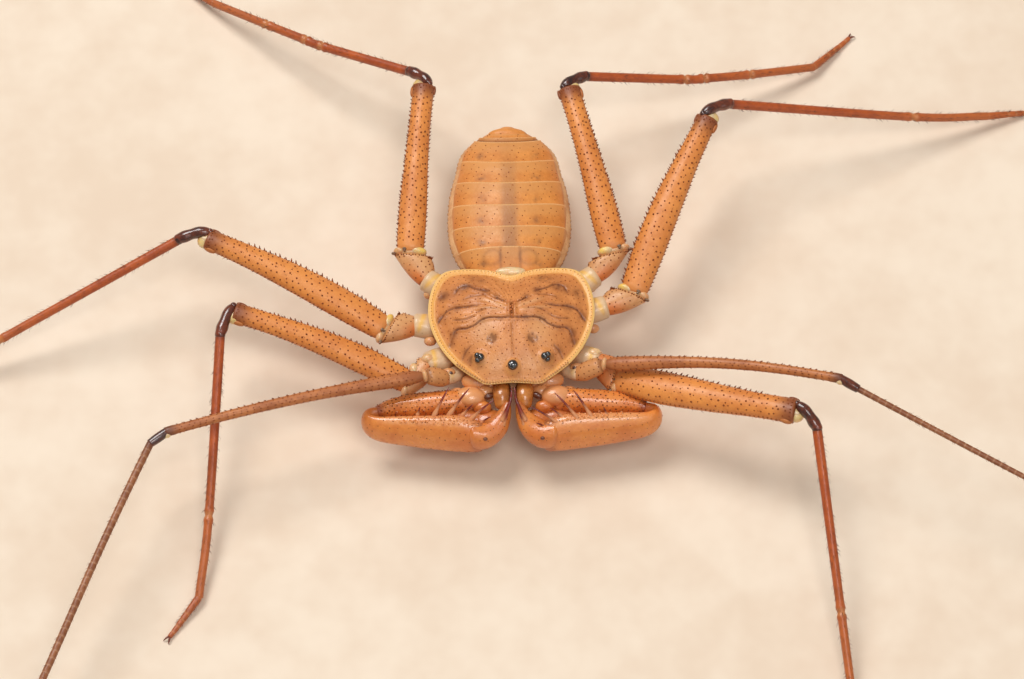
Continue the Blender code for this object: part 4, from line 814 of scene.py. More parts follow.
walking = {
    "lengths": {2: (1.7, 11.9, 1.8, 11.5, 5.2, 3.1), 3: (1.9, 12.7, 1.9, 13.1, 5.4, 3.5),
                4: (2.0, 11.7, 1.6, 7.0, 1.4, 3.4, 4.8, 3.6)},
    # the first joint, then a heading and a climb for each segment
    "pose": {
        (2, "left"): ((5.35, -1.15, 3.6), (-48, -1), (-20.4, 13), (-42, -3), (-84, -19.5), (-84, -18), (-86, -8)),
        (2, "right"): ((-5.3, -1.1, 3.55), (-130, -8), (159.5, 10.5), (-122, -3), (-94, -18), (-97, -15), (-125, -8)),
        (3, "left"): ((5.95, 2.73, 3.7), (22, 7), (65.5, 13.5), (39, -3), (7.5, -19.5), (11, -17), (13, -8.5)),
        (3, "right"): ((-6.1, 1.64, 3.7), (-162, 12), (153.5, 10), (178, -3), (-157.3, -17.5), (-156, -16), (-152, -8)),
        (4, "left"): ((5.31, 4.97, 3.8), (47, 13), (103, 8.5), (45.5, -5.5), (10, -19), (14.5, -18), (16.5, -17.5),
                      (18.5, -17.5), (45.5, -6)),
        (4, "right"): ((-5.31, 4.87, 3.8), (123, 12), (85, 9), (124, -5), (149, -17), (144, -17), (143.5, -17),
                       (142.5, -18), (138, -9))},
    # share, half width and half depth
    "femur": {
        2: ((0, 0.62, 0.5), (0.03, 0.78, 0.58), (0.25, 0.9, 0.66), (0.5, 0.8, 0.64), (0.75, 0.67, 0.56),
            (0.93, 0.66, 0.54), (1, 0.68, 0.52)),
        3: ((0, 0.68, 0.52), (0.03, 0.88, 0.62), (0.25, 1.0, 0.7), (0.5, 0.93, 0.67), (0.75, 0.76, 0.59),
            (0.93, 0.68, 0.56), (1, 0.7, 0.54)),
        4: ((0, 0.66, 0.52), (0.03, 0.86, 0.62), (0.25, 0.88, 0.66), (0.5, 0.76, 0.61), (0.75, 0.68, 0.56),
            (0.93, 0.69, 0.55), (1, 0.72, 0.54))},
    "wedge": ((0, 0.54, 0.5), (0.12, 0.66, 0.56), (0.4, 0.86, 0.62), (0.7, 1.04, 0.64), (0.93, 1.14, 0.6),
              (1, 1.06, 0.5)),
    "femurBow": 0.25, "rearBow": {2: 0.2, 3: 0.17, 4: 0.05},
    "broad": {(2, "left"): (1.22, -0.24)},  # a broader femur that bows the other way
    # share, push outwards, half width and half depth
    "knee": ((0.0, 0.3, 0.24, 0.26), (0.12, 0.4, 0.35, 0.36), (0.36, 0.42, 0.38, 0.4), (0.6, 0.32, 0.34, 0.36),
             (0.8, 0.18, 0.39, 0.38), (0.93, 0.08, 0.36, 0.35), (1.06, 0.0, 0.3, 0.3)),
    "stem": ((0, 0.5, 0.42), (0.5, 0.5, 0.42), (1, 0.34, 0.34)),
    # two lobes at the femur's end: share, radii, and the share whose colour they take
    "lobes": ((0.975, (0.4, 0.13, 0.2), 0.93), (0.99, (0.36, 0.11, 0.17), 0.99)),
    # skin and pegs at the femur's root: steps inwards, outwards along the femur and up, radii and the mask
    "skins": ((-0.66, 0.0, 0.02, (0.4, 0.26, 0.4), "orange", 0.45), (0.0, 0.0, 0.0, (0.7, 0.4, 0.46), "peach", 0.8)),
    "pegs": ((-0.34, 0.0, 0.46, (0.15, 0.1, 0.1), "dark", 0.85), (-0.34, -0.14, 0.46, 0.09, "dark", 0.85),
             (-1.02, -0.2, 0.12, (0.16, 0.1, 0.14), "dark", 0.85)),
    "tibiaRadii": (0.31, 0.26), "tarsusRadii": (0.25, 0.17, 0.15), "tarsusRings": (0.0, 0.42, 0.58, 0.74, 0.9),
    "footZ": 0.16, "strips": 5, "teeth": {2: (0.14, 0.22), 3: (0.16, 0.26), 4: (0.1, 0.17)},
    # forward, sideways, up and radius along a claw
    "claw": ((-0.05, 0.0, 0.0, 0.075), (0.2, 0.1, 0.05, 0.06), (0.38, 0.17, -0.05, 0.035), (0.44, 0.2, -0.14, 0.012)),
}


def limbJoints(base, lengths, pose):
    joints = [np.asarray(base, float)]
    for length, (heading, climb) in zip(lengths, pose):
        joints.append(joints[-1] + towards(heading, climb) * length)
    return joints


def segment(start, end, sections, count, bow=0.0, around=24, caps=(0.5, 0.3), before=0.0, after=0.0, rearward=0.0):
    # a limb segment that may reach a little past its joints into its neighbours
    way = unit(end - start)
    first, last = start - way * before, end + way * after
    shares = np.linspace(0, 1, count)
    across = unit(np.cross(way, (0.0, 0.0, 1.0)))
    path = first + (last - first) * shares[:, None]
    path += np.sin(math.pi * shares)[:, None] * (across * rearward * np.sign(across[1]) + (0, 0, bow))
    known, wide, deep = through(sections, 12).T
    return loft(path, np.interp(shares, known, wide), np.interp(shares, known, deep), around, caps=caps)


def tile(strip, share, turn):
    # a place on the unwrap, where each segment of a limb has a strip of its own
    index, total = strip
    return np.stack([(index + 0.03 + 0.94 * np.asarray(share)) / total, 0.02 + 0.96 * np.asarray(turn)], -1)


def rowPlaces(body, draw, rows, span, spacing, jitter, wobble, stagger):
    # shares along and turns round, for rows along a segment
    count, pitch = max(2, int(body["length"] * (span[1] - span[0]) / spacing)), spacing / body["length"]
    shares, turns = [], []
    for index, turn in enumerate(rows):
        share = np.linspace(*span, count) + draw.uniform(-jitter, jitter, count) * pitch
        shares.append(np.clip(share + stagger * pitch * (index % 2), 0, 1))
        turns.append(turn + draw.uniform(-wobble, wobble, count))
    return np.concatenate(shares), np.concatenate(turns) % 1.0


def rowSpikes(body, draw, strip, rows, span, spacing, lengths, radii, lean):
    # rows of small spikes along a segment, pointing out and towards its end
    shares, turns = rowPlaces(body, draw, rows, span, spacing, 0.16, 0.008, 0.0)
    points, outward, along = onLoft(body, shares, turns)
    ways = outward + along * lean + draw.normal(0, 0.08, points.shape)
    size = draw.uniform(*lengths, len(points))
    return spikes(points, ways, size, np.interp(size, lengths, radii), tile(strip, shares, turns))


def rowStuds(body, draw, strip, rows, span, spacing, radii):
    shares, turns = rowPlaces(body, draw, rows, span, spacing, 0.3, 0.014, 0.5)
    points, outward, along = onLoft(body, shares, turns)
    size = draw.uniform(*radii, len(points))
    return studs(points, outward + along * 0.4, size, size * 1.1, tile(strip, shares, turns))


def hairs(body, draw, strip, count, span, lengths, radius, lean):
    # fine scattered hairs
    shares, turns = draw.uniform(*span, count), draw.uniform(0, 1, count)
    points, outward, along = onLoft(body, shares, turns)
    ways = outward + along * lean + draw.normal(0, 0.15, points.shape)
    size = draw.uniform(*lengths, count)
    return spikes(points, ways, size, radius, tile(strip, shares, turns), 3, along * size[:, None] * 0.25, 0.02)


def edgeTeeth(body, draw, strip, share, span, count, lengths):
    # a row of small teeth round a segment's end
    shares, turns = np.full(count, share), np.linspace(*span, count) + draw.uniform(-0.008, 0.008, count)
    points, outward, along = onLoft(body, shares, turns)
    return spikes(points, outward + along * 0.9, draw.uniform(*lengths, count), 0.05, tile(strip, shares, turns))


def clearOfFloor(shape):
    shape["points"][:, 2] = np.maximum(shape["points"][:, 2], 0.0)
    return shape


def buildLeg(pair, side):
    place, name = "leg_%d_%s_" % (pair, side), "leg%d%s" % (pair, side.capitalize())
    base, *pose = walking["pose"][(pair, side)]
    joints = limbJoints(base, walking["lengths"][pair], pose)
    draw = np.random.default_rng(100 + pair * 2 + (side == "left"))

    # trochanter: a wedge, orange beside its root, with a toothed outer edge
    fore, reach, shin = unit(joints[1] - joints[0]), unit(joints[2] - joints[1]), unit(joints[3] - joints[2])
    levels = unit(np.cross(np.array([fore, reach]), (0.0, 0.0, 1.0)))
    innerSign = 1.0 if np.dot(levels[1], joints[0] - joints[1]) > 0 else -1.0
    inner = levels[1] * innerSign
    shares = np.linspace(0, 1, 36)
    known, wide, deep = through(walking["wedge"], 10).T
    start, end = joints[0] - fore * 0.12, joints[1] - reach * 0.06 + inner * 0.14
    trochanter = loft(start + (end - start) * shares[:, None], np.interp(shares, known, wide),
                      np.interp(shares, known, deep), 40, 0.0, (0.5, 0.18),
                      levels[0] + (levels[1] - levels[0]) * smooth(0.0, 1.0, shares)[:, None])
    broad, bowed = walking["broad"].get((pair, side), (1.0, walking["rearBow"][pair]))
    along, _, flank = trochanter["grid"]
    outerness = -innerSign * flank
    paint(trochanter["shape"], distal=smooth(0.86, 0.97, along),
          base=smooth(0.8, 0.1, along) * smooth(-0.1, 0.75, outerness) + (broad - 1) * 3,
          dark=smooth(0.12, 0.02, along) * smooth(0.3, 0.9, outerness) * 0.8)
    addPiece(name + "Trochanter", trochanter["shape"], "trochanter", "leg", place + "trochanter")

    sections = np.array(walking["femur"][pair]) * (1, broad, broad)
    femur = segment(joints[1] + reach * 0.3, joints[2], sections, 90, walking["femurBow"], 32, (0.4, 0.16), 0.06,
                    0.04, bowed)
    outer = -unit(shin - reach)
    innerTurn = 0.0 if np.dot(femur["sideways"][-1], -outer) > 0 else 0.5
    lobes = [bulb(onLoft(femur, [share], [turn])[0][0] - reach * 0.12, radii, 10, 16, reach, along=alike)
             for (share, radii, alike), turn in zip(walking["lobes"], (innerTurn, 0.5 - innerTurn))]
    shape = joinShapes(femur["shape"], *lobes)
    along, top = shape["values"]["along"], shape["values"]["top"]
    # flank below is painted shade: the femur darkens on its sides, away from its top
    paint(shape, base=smooth(0.05, 0.0, along), distal=smooth(0.85, 0.985, along) ** 1.4,
          flank=smooth(0.35, 0.0, np.abs(top)) * 0.8)
    addPiece(name + "Femur", shape, "femur", "leg", place + "femur")

    # soft skin at both ends of the femur, and the dark joint pegs
    hollow = joints[1] + reach * 0.16
    collar = bulb(hollow + inner * 0.46 + (0, 0, 0.1), (0.62, 0.3, 0.44), way=levels[1])
    paint(collar, yellow=smooth(0.1, 0.8, collar["values"]["top"])
          * smooth(0.2, 0.9, (collar["points"] - hollow) @ inner) * 0.9)
    hinge = bulb(joints[2] - outer * 0.12 + shin * 0.2 + (0, 0, -0.02), (0.5, 0.5, 0.4))
    paint(hinge, yellow=smooth(-0.2, 0.6, hinge["values"]["top"]) * 0.35)
    stem = segment(joints[2] - reach * 0.3, joints[2] + shin * 0.4, walking["stem"], 12)
    skins, pegs = ([bulb(hollow + inner * inwards + reach * ahead + (0, 0, up), radii, rows, around,
                         levels[1] if np.ndim(radii) else (1.0, 0.0), **{mask: value})
                    for inwards, ahead, up, radii, mask, value in walking[kind]]
                   for kind, rows, around in (("skins", 12, 18), ("pegs", 8, 12)))
    addPiece(name + "Membranes", joinShapes(collar, *skins, hinge, stem["shape"], *pegs), "membrane", "membrane")

    # the knee hooks round the outside of the bend
    knots = [(*(joints[2] + (joints[3] - joints[2]) * share + outer * out + (0, 0, 0.06)), wide, deep)
             for share, out, wide, deep in walking["knee"]]
    knee = curved(knots, 1, 8, 24, caps=(0.8, 0.6))
    along, top, _ = knee["grid"]
    paint(knee["shape"], rust=smooth(0.2, -0.5, top) * smooth(0.15, 0.4, along) + smooth(0.8, 1.0, along) * 0.6)
    addPiece(name + "Knee", joinShapes(knee["shape"], bulb(joints[2] + outer * 0.42 + (0, 0, 0.14), 0.22),
                                       bulb(joints[3] + (0, 0, 0.04), 0.34)), "knee", "knee", place + "patella")

    # tibia, with pale rings at its soft joints
    bends = joints[3:-1]
    rows = through(bends, 30)
    shares = runLengths(rows) / runLengths(rows)[-1]
    radii = np.interp(shares, (0, 1), walking["tibiaRadii"])
    for joint in bends[1:-1]:
        gap = np.linalg.norm(rows - joint, axis=1)
        radii = radii + 0.05 * bell(gap - 0.22, 0.15) - 0.05 * bell(gap, 0.08)
    even = np.linspace(0, 1, 220)
    radii = np.interp(even, shares, radii)
    tibia = loft(blendRows(even, shares, rows), radii, radii, 18, caps=(0.6, 0.4))
    along = tibia["grid"][0]
    ring = np.zeros(len(along))
    for joint in bends[1:-1]:
        gap = np.linalg.norm(tibia["shape"]["points"] - joint, axis=1)
        ring = np.maximum(ring, bell(np.maximum(gap - 0.3, 0), 0.09))
    paint(tibia["shape"], ring=ring, base=smooth(0.03, 0.0, along), pale=smooth(0.3, 1.0, along))
    addPiece(name + "Tibia", tibia["shape"], "shin", "shin", place + "tibia")

    # tarsus and claws, which stay on the floor
    start, end = joints[-2], joints[-1]
    shares = np.linspace(0, 1, 60)
    path = start + (end - start) * shares[:, None]
    path[:, 2] = np.maximum(walking["footZ"] + 0.02, start[2] + (walking["footZ"] - start[2]) * shares / 0.85)
    radii = np.interp(shares, (0, 0.85, 1), walking["tarsusRadii"])
    radii = radii - 0.03 * sum(bell(shares - mark, 0.012) for mark in walking["tarsusRings"])
    radii = np.minimum(radii, path[:, 2])
    foot = loft(path, radii, radii, 16, caps=(0.5, 0.6))
    ring = np.maximum.reduce([bell(foot["grid"][0] - mark, 0.02) for mark in walking["tarsusRings"]])
    paint(foot["shape"], ring=ring, base=0.0, pale=0.6)
    way = unit((end - start) * (1, 1, 0))
    level = np.array([-way[1], way[0], 0.0])
    claws = []
    for sign in (-1, 1):
        knots = [(*(path[-1] + way * ahead + level * sign * out + (0, 0, up)), radius)
                 for ahead, out, up, radius in walking["claw"]]
        curve = through(knots, 6)
        claws.append(paint(loft(curve[:, :3], curve[:, 3], curve[:, 3], 8)["shape"], base=0.9))
    addPiece(name + "Tarsus", clearOfFloor(joinShapes(foot["shape"], *claws)), "shin", "shin", place + "tarsus")

    strips = [(index, walking["strips"]) for index in range(walking["strips"])]
    rearUp = 0.05 if femur["sideways"][0][1] > 0 else 0.45
    addPiece(name + "Spinules", joinShapes(
        rowSpikes(femur, draw, strips[1], (0.01, 0.49), (0.03, 0.96), 0.27, (0.09, 0.15), (0.045, 0.055), 0.7),
        rowSpikes(femur, draw, strips[1], (rearUp,), (0.03, 0.8), 0.34, walking["teeth"][pair], (0.06, 0.075), 0.55),
        rowStuds(femur, draw, strips[1], (0.1, 0.16, 0.22, 0.28, 0.34, 0.4), (0.04, 0.95), 0.46, (0.042, 0.068)),
        rowStuds(femur, draw, strips[1], (0.6, 0.7, 0.8, 0.9), (0.05, 0.92), 0.5, (0.035, 0.05)),
        rowStuds(trochanter, draw, strips[0], (0.06, 0.13, 0.2, 0.27, 0.34, 0.41, 0.6, 0.8), (0.2, 0.85), 0.3,
                 (0.035, 0.055)),
        edgeTeeth(trochanter, draw, strips[0], 0.95, (0.03, 0.47), 17, (0.07, 0.12)),
        edgeTeeth(trochanter, draw, strips[0], 0.88, (0.02, 0.1) if innerSign > 0 else (0.4, 0.48), 5, (0.16, 0.24)),
        edgeTeeth(femur, draw, strips[1], 0.985, (0.05, 0.45), 9, (0.06, 0.1))), "dot", "leg")
    addPiece(name + "Hairs", clearOfFloor(joinShapes(
        hairs(tibia, draw, strips[3], 260, (0.02, 0.99), (0.15, 0.3), 0.014, 0.9),
        hairs(foot, draw, strips[4], 90, (0.05, 0.7), (0.12, 0.22), 0.013, 0.9),
        hairs(femur, draw, strips[1], 120, (0.05, 0.95), (0.12, 0.22), 0.013, 0.7))), "bristle", "shin")
    return joints[0]


def curved(knots, sign, perSpan=16, around=28, lean=0.0, caps=(0.5, 0.5)):
    # a loft through knots of place, half width and half depth
    curve = through(np.asarray(knots, float) * (sign, 1, 1, 1, 1), perSpan)
    return loft(curve[:, :3], curve[:, 3], curve[:, 4], around, lean, caps)


legRoots = [(buildLeg(pair, side), 0.74, pair) for pair, side in walking["pose"]]
print("walking legs")


# the first pair of legs, drawn out into whips
feelers = {
    "bases": {"right": (-4.25, -2.45, 4.0), "left": (4.2, -2.3, 4.0)},
    "lengths": {"right": (1.5, 16.7, 1.2), "left": (1.7, 15.1, 1.2)},
    "pose": {"right": ((-168, 36), (-164.5, 4.5), (-143, -4)), "left": ((8, 31), (-11.1, 10.3), (-34, -4))},
    "femurBow": 0.3, "rearBow": {"right": 0.15, "left": 0.4},
    "femur": ((0, 0.3, 0.3), (0.03, 0.42, 0.4), (0.1, 0.46, 0.43), (0.4, 0.35, 0.34), (0.9, 0.29, 0.28),
              (0.97, 0.32, 0.3), (1, 0.3, 0.28)),
    "trochanter": ((0, 0.4, 0.38), (0.3, 0.6, 0.52), (0.75, 0.6, 0.52), (0.95, 0.5, 0.46), (1, 0.4, 0.38)),
    "patella": ((0, 0.27, 0.27), (0.5, 0.31, 0.3), (1, 0.27, 0.27)),
    "whipLengths": (30.0, 27.0), "steps": 24, "ringGap": 0.5,
    "headings": {"right": (-115, -112, -113, -106, -97, -90), "left": (-29, -28, -28, -31, -40, -52)},
    "climbs": {"right": (-8, -8, -6, -2, 1, 2), "left": (-8, -9, -9, -6, -3, 0)},
    "radii": {"right": (0.24, 0.23, 0.21, 0.12), "left": (0.19, 0.15, 0.13, 0.1)},
}


def buildFeeler(side):
    place, name = "leg_1_%s_" % side, "feeler" + side.capitalize()
    joints = limbJoints(feelers["bases"][side], feelers["lengths"][side], feelers["pose"][side])
    draw = np.random.default_rng(61 + (side == "left"))
    trochanter = segment(joints[0], joints[1], feelers["trochanter"], 24, before=0.2, after=-0.1)
    paint(trochanter["shape"], base=0.25, distal=0.9, dark=smooth(0.93, 1.0, trochanter["grid"][0]) * 0.5)
    addPiece(name + "Trochanter", trochanter["shape"], "trochanter", "leg", place + "trochanter")
    reach = unit(joints[2] - joints[1])
    addPiece(name + "Membranes", joinShapes(
        bulb(joints[1] + reach * 0.08, (0.2, 0.42, 0.42), way=reach, peach=0.9),
        bulb(joints[2] - (0, 0.14, 0.05), (0.34, 0.26, 0.24), way=reach)), "membrane", "membrane")
    femur = segment(joints[1], joints[2], feelers["femur"], 90, feelers["femurBow"], 20, (0.5, 0.3), -0.3, 0.05,
                    feelers["rearBow"][side])
    along = femur["grid"][0]
    paint(femur["shape"], base=smooth(0.04, 0.0, along), distal=smooth(0.93, 0.995, along))
    addPiece(name + "Femur", femur["shape"], "feelerFemur", "leg", place + "femur")
    patella = segment(joints[2], joints[3], feelers["patella"], 20, before=0.12, after=0.05)
    addPiece(name + "Knee", patella["shape"], "knee", "knee", place + "patella")

    # the whip, in two pieces with a groove at every ring
    total, steps = sum(feelers["whipLengths"]), feelers["steps"]
    points = [joints[3]]
    for share in (np.arange(steps) + 0.5) / steps:
        way = towards(blendList(feelers["headings"][side], share), blendList(feelers["climbs"][side], share))
        points.append(points[-1] + way * (total / steps))
    curve = through(points, 12)
    lengths = runLengths(curve)
    cut = lengths[round(steps * feelers["whipLengths"][0] / total) * 12]
    coat = []
    for label, start, end, strip in (("Tibia", 0.0, cut, 1), ("Tarsus", cut, lengths[-1], 2)):
        rings = int(round((end - start) / feelers["ringGap"]))
        places = np.linspace(start, end, rings * 8 + 1)
        phase = (places - start) / feelers["ringGap"] * (rings * feelers["ringGap"] / (end - start)) % 1.0
        groove = bell(np.minimum(phase, 1 - phase), 0.1)
        radii = blendList(feelers["radii"][side], places / lengths[-1]) * (1 + 0.03 * phase - 0.06 * groove)
        whip = loft(blendRows(places, lengths, curve), radii, radii, 12, caps=(0.4, 0.8))
        along = whip["grid"][0]
        paint(whip["shape"], ring=np.interp(along, whip["share"], groove),
              base=smooth(0.02, 0.0, along) * (label == "Tibia"))
        addPiece(name + label, whip["shape"], "whip", "shin", place + label.lower())
        coat.append(hairs(whip, draw, (strip, 3), 420, (0.01, 0.99), (0.1, 0.2), 0.012, 0.9))
    coat.append(rowSpikes(femur, draw, (0, 3), (0.02, 0.48, 0.13, 0.37), (0.04, 0.95), 0.42, (0.09, 0.15),
                          (0.04, 0.05), 0.9))
    coat.append(rowStuds(femur, draw, (0, 3), (0.2, 0.3, 0.62, 0.75, 0.88), (0.04, 0.95), 0.4, (0.03, 0.045)))
    coat.append(rowStuds(trochanter, draw, (0, 3), (0.06, 0.16, 0.26, 0.36, 0.44), (0.1, 0.9), 0.28, (0.035, 0.05)))
    addPiece(name + "Spinules", joinShapes(*coat), "dot", "leg")
    return joints[0]


feelerRoots = [(buildFeeler(side), 0.46, 1) for side in sides]
print("feelers")


# knots are place, half width and half depth; lumps and faces are place and radii
palps = {
    "trochanter": ((1.9, -2.8, 3.05, 0.5, 0.5), (2.15, -3.3, 3.2, 0.62, 0.64), (2.8, -3.72, 3.38, 0.54, 0.58)),
    "femur": ((2.5, -3.72, 3.38, 0.54, 0.54), (3.2, -3.8, 3.4, 0.7, 0.68), (4.4, -3.9, 3.38, 0.76, 0.76),
              (6.2, -3.98, 3.28, 0.74, 0.73), (7.5, -4.08, 3.17, 0.58, 0.66), (8.45, -4.34, 3.06, 0.44, 0.54)),
    "patella": ((8.3, -4.4, 3.05, 0.36, 0.5), (9.0, -4.62, 3.05, 0.38, 0.6), (9.12, -5.05, 3.05, 0.4, 0.74),
                (8.45, -5.45, 3.05, 0.5, 0.86), (7.0, -5.62, 3.05, 0.62, 1.0), (5.0, -5.78, 3.05, 0.74, 1.14),
                (3.4, -5.9, 3.05, 0.8, 1.2), (2.2, -6.15, 3.05, 0.72, 1.02)),
    "tibia": ((2.45, -6.12, 3.05, 0.8, 1.06), (1.75, -6.04, 3.15, 0.86, 0.88), (1.1, -5.62, 3.4, 0.78, 0.64),
              (0.66, -5.1, 3.75, 0.52, 0.44), (0.42, -4.62, 4.05, 0.3, 0.3), (0.34, -4.38, 4.18, 0.18, 0.2)),
    "tarsus": ((0.72, -5.5, 4.0, 0.18, 0.18), (0.42, -5.05, 4.45, 0.13, 0.13), (0.16, -4.45, 4.85, 0.085, 0.085),
               (0.1, -3.8, 5.05, 0.03, 0.03)),
    "lean": 0.3, "reach": {"right": 1.0, "left": 0.976},
    "lumps": ((2.28, -2.55, 3.75, 0.95, 0.62, 0.5), (2.7, -3.66, 3.72, 1.0, 0.7, 0.56),
              (1.75, -3.2, 3.55, 0.6, 0.6, 0.5), (3.5, -3.2, 3.3, 0.55, 0.42, 0.4), (1.45, -2.7, 3.55, 0.5, 0.5, 0.5)),
    "sleeve": (1.95, -4.25, 3.45, 0.6, 0.42, 0.42),
    "peg": (1.5, -3.74, 3.95, 0.34, 0.2, 0.2),
    "faces": ((1.55, -4.95, 3.05, 0.95, 0.75, 0.4), (2.7, -4.75, 3.0, 1.3, 0.6, 0.4), (4.6, -4.7, 2.9, 1.9, 0.5, 0.4),
              (6.9, -4.75, 2.85, 1.7, 0.45, 0.4)),
    # spines as (pixel u, v, height) of the foot, the same of the tip, and the root radius
    "spines": {
        "right": (((434, 412, 4.12), (448.7, 385.5, 5.15), 0.17), ((449.7, 411, 4.15), (468.7, 387, 5.2), 0.17),
                  ((462, 413, 4.1), (472, 403, 4.75), 0.14), ((470.8, 416.6, 4.0), (493, 399, 4.9), 0.16),
                  ((479, 422, 3.75), (489, 415.5, 4.3), 0.13), ((417, 412, 4.0), (419.5, 404.5, 4.5), 0.13)),
        "left": (((588, 415.5, 4.12), (571.3, 390.2, 5.15), 0.17), ((574.5, 417.6, 4.15), (552.4, 392.4, 5.2), 0.17),
                 ((559.7, 416.6, 4.1), (548.1, 407.6, 4.75), 0.14), ((555.5, 422.9, 4.0), (528.2, 406, 4.9), 0.16),
                 ((543.9, 427, 3.75), (533.9, 422.3, 4.3), 0.13), ((604.4, 415, 4.0), (601.3, 408.1, 4.5), 0.13))},
    "femurSpines": {"right": ((446, 406), (453, 403), (423, 409), (396, 410), (405, 409)),
                    "left": ((567, 406), (575.5, 407), (597.6, 413), (619.7, 414), (585, 409))},
    # share and girth along one spine
    "spineSizes": ((0.0, 1.0), (0.06, 0.92), (0.14, 0.68), (0.3, 0.5), (0.5, 0.42), (0.7, 0.35), (0.86, 0.26),
                   (0.95, 0.15), (1.0, 0.04)),
}

jaws = {
    "base": ((0.7, -2.7, 3.6, 0.46, 0.42), (0.7, -3.2, 3.85, 0.58, 0.5), (0.7, -3.75, 3.92, 0.58, 0.52),
             (0.72, -4.25, 3.75, 0.46, 0.46)),
    "fang": ((0.66, -4.5, 3.2, 0.14, 0.14), (0.6, -4.75, 2.8, 0.12, 0.12), (0.55, -4.7, 2.35, 0.07, 0.07),
             (0.5, -4.5, 2.05, 0.015, 0.015)),
}


def spineShape(foot, tip, radius):
    # one long spine: a pale swollen root, a dark tapering shaft
    foot, tip = np.asarray(foot, float), np.asarray(tip, float)
    length = np.linalg.norm(tip - foot)
    shares, sizes = np.transpose([(-0.35 / length, 0.9), *palps["spineSizes"]])
    bow = np.array([0.0, 0.0, 0.06 * length])
    path = foot + (tip - foot) * shares[:, None] + bow * np.sin(math.pi * np.clip(shares, 0, 1))[:, None]
    body = loft(path, sizes * radius, sizes * radius, 12, caps=(0.2, 0.8))
    return paint(body["shape"], root=smooth(0.5, 0.14, np.interp(body["grid"][0], body["share"], shares)))


def sideBulb(lump, sign, **settings):
    x, y, z, *radii = lump
    return bulb((x * sign, y, z), radii, **settings)


def buildPalp(side, sign):
    place, name = "pedipalp_%s_" % side, "palp" + side.capitalize()
    draw = np.random.default_rng(83 + (side == "left"))
    lumps = [sideBulb(lump, sign) for lump in palps["lumps"]]
    for lump in lumps:
        # the lumps' pale is partly their own colour and partly a painted highlight that grows towards their tops
        paint(lump, pale=0.35 + 0.3 * smooth(0.2, 0.9, lump["values"]["top"]))
    # the inner faces of the femur and patella are seen down between the two
    faces = [sideBulb(face, sign, rust=0.45) for face in palps["faces"]]
    addPiece(name + "Trochanter", joinShapes(
        paint(curved(palps["trochanter"], sign)["shape"], pale=0.4), *lumps, sideBulb(palps["sleeve"], sign, rust=0.2),
        sideBulb(palps["peg"], sign, way=(1.0, -0.5 * sign), dark=1.0), *faces), "palp", "palp", place + "trochanter")
    stretch = sign * palps["reach"][side]
    femur = curved(palps["femur"], stretch, 26, 30, palps["lean"] * 0.3)
    along = femur["grid"][0]
    paint(femur["shape"], pale=smooth(0.15, 0.0, along), rust=smooth(0.9, 1.0, along))
    addPiece(name + "Femur", femur["shape"], "palp", "palp", place + "femur")
    patella = curved(palps["patella"], stretch, 24, 44, palps["lean"], (0.5, 0.7))
    along, top, _ = patella["grid"]
    # the pale along the top of the patella's ridge is a painted highlight
    paint(patella["shape"], pale=smooth(0.8, 0.97, top) * smooth(0.2, 0.35, along) * 0.5,
          rust=smooth(0.93, 1.0, along) * 0.7 + smooth(0.12, 0.0, along) * 0.6)
    addPiece(name + "Patella", joinShapes(
        patella["shape"], bulb((9.0 * stretch, -4.42, 3.46), 0.17, dark=1.0),
        bulb((1.78 * sign, -6.7, 3.76), (0.14, 0.12, 0.12), dark=0.9)), "palp", "palp", place + "patella")
    tibia = curved(palps["tibia"], stretch, 14, 24)
    paint(tibia["shape"], rust=0.08 + 0.4 * smooth(0.6, 1.0, tibia["grid"][0]))
    addPiece(name + "Tibia", tibia["shape"], "palp", "palp", place + "tibia")
    claw = curved(palps["tarsus"], sign, 14, 16, caps=(0.4, 0.9))
    addPiece(name + "Claw", paint(claw["shape"], root=smooth(0.35, 0.0, claw["grid"][0])), "spine", "claw",
             place + "tarsus")

    spines = [spineShape(atPixel(*foot), atPixel(*tip), radius) for foot, tip, radius in palps["spines"][side]]
    for u, v in palps["femurSpines"][side]:
        foot = atPixel(u, v, 3.75)
        spines.append(spineShape(foot, foot + (0.05 * sign, -0.25, 0.35), 0.09))
    spines.append(spineShape((0.62 * sign, -5.75, 3.85), (0.28 * sign, -5.2, 4.7), 0.11))
    addPiece(name + "Spines", joinShapes(*spines), "spine", "claw")

    ridge = rowStuds(patella, draw, (1, 3), (0.2, 0.235, 0.27), (0.42, 0.97), 0.3, (0.05, 0.1))
    # the ridge grains are tinted pale, partly a painted highlight along the ridge
    addPiece(name + "Ridge", paint(ridge, pale=0.25), "palp", "palp")
    addPiece(name + "Granules", joinShapes(
        rowStuds(patella, draw, (1, 3), (0.21, 0.26, 0.3), (0.3, 0.96), 0.5, (0.03, 0.045)),
        rowStuds(patella, draw, (1, 3), (0.05, 0.12, 0.4, 0.47, 0.55, 0.9), (0.1, 0.96), 0.5, (0.025, 0.04)),
        rowStuds(femur, draw, (0, 3), (0.06, 0.11, 0.16, 0.21, 0.26, 0.31, 0.36, 0.41, 0.46), (0.06, 0.95), 0.34,
                 (0.035, 0.06)),
        rowSpikes(femur, draw, (0, 3), (0.02, 0.48), (0.06, 0.95), 0.34, (0.07, 0.12), (0.04, 0.05), 0.4),
        rowStuds(tibia, draw, (2, 3), (0.1, 0.2, 0.3, 0.4), (0.1, 0.8), 0.26, (0.025, 0.035))), "dot", "palp")


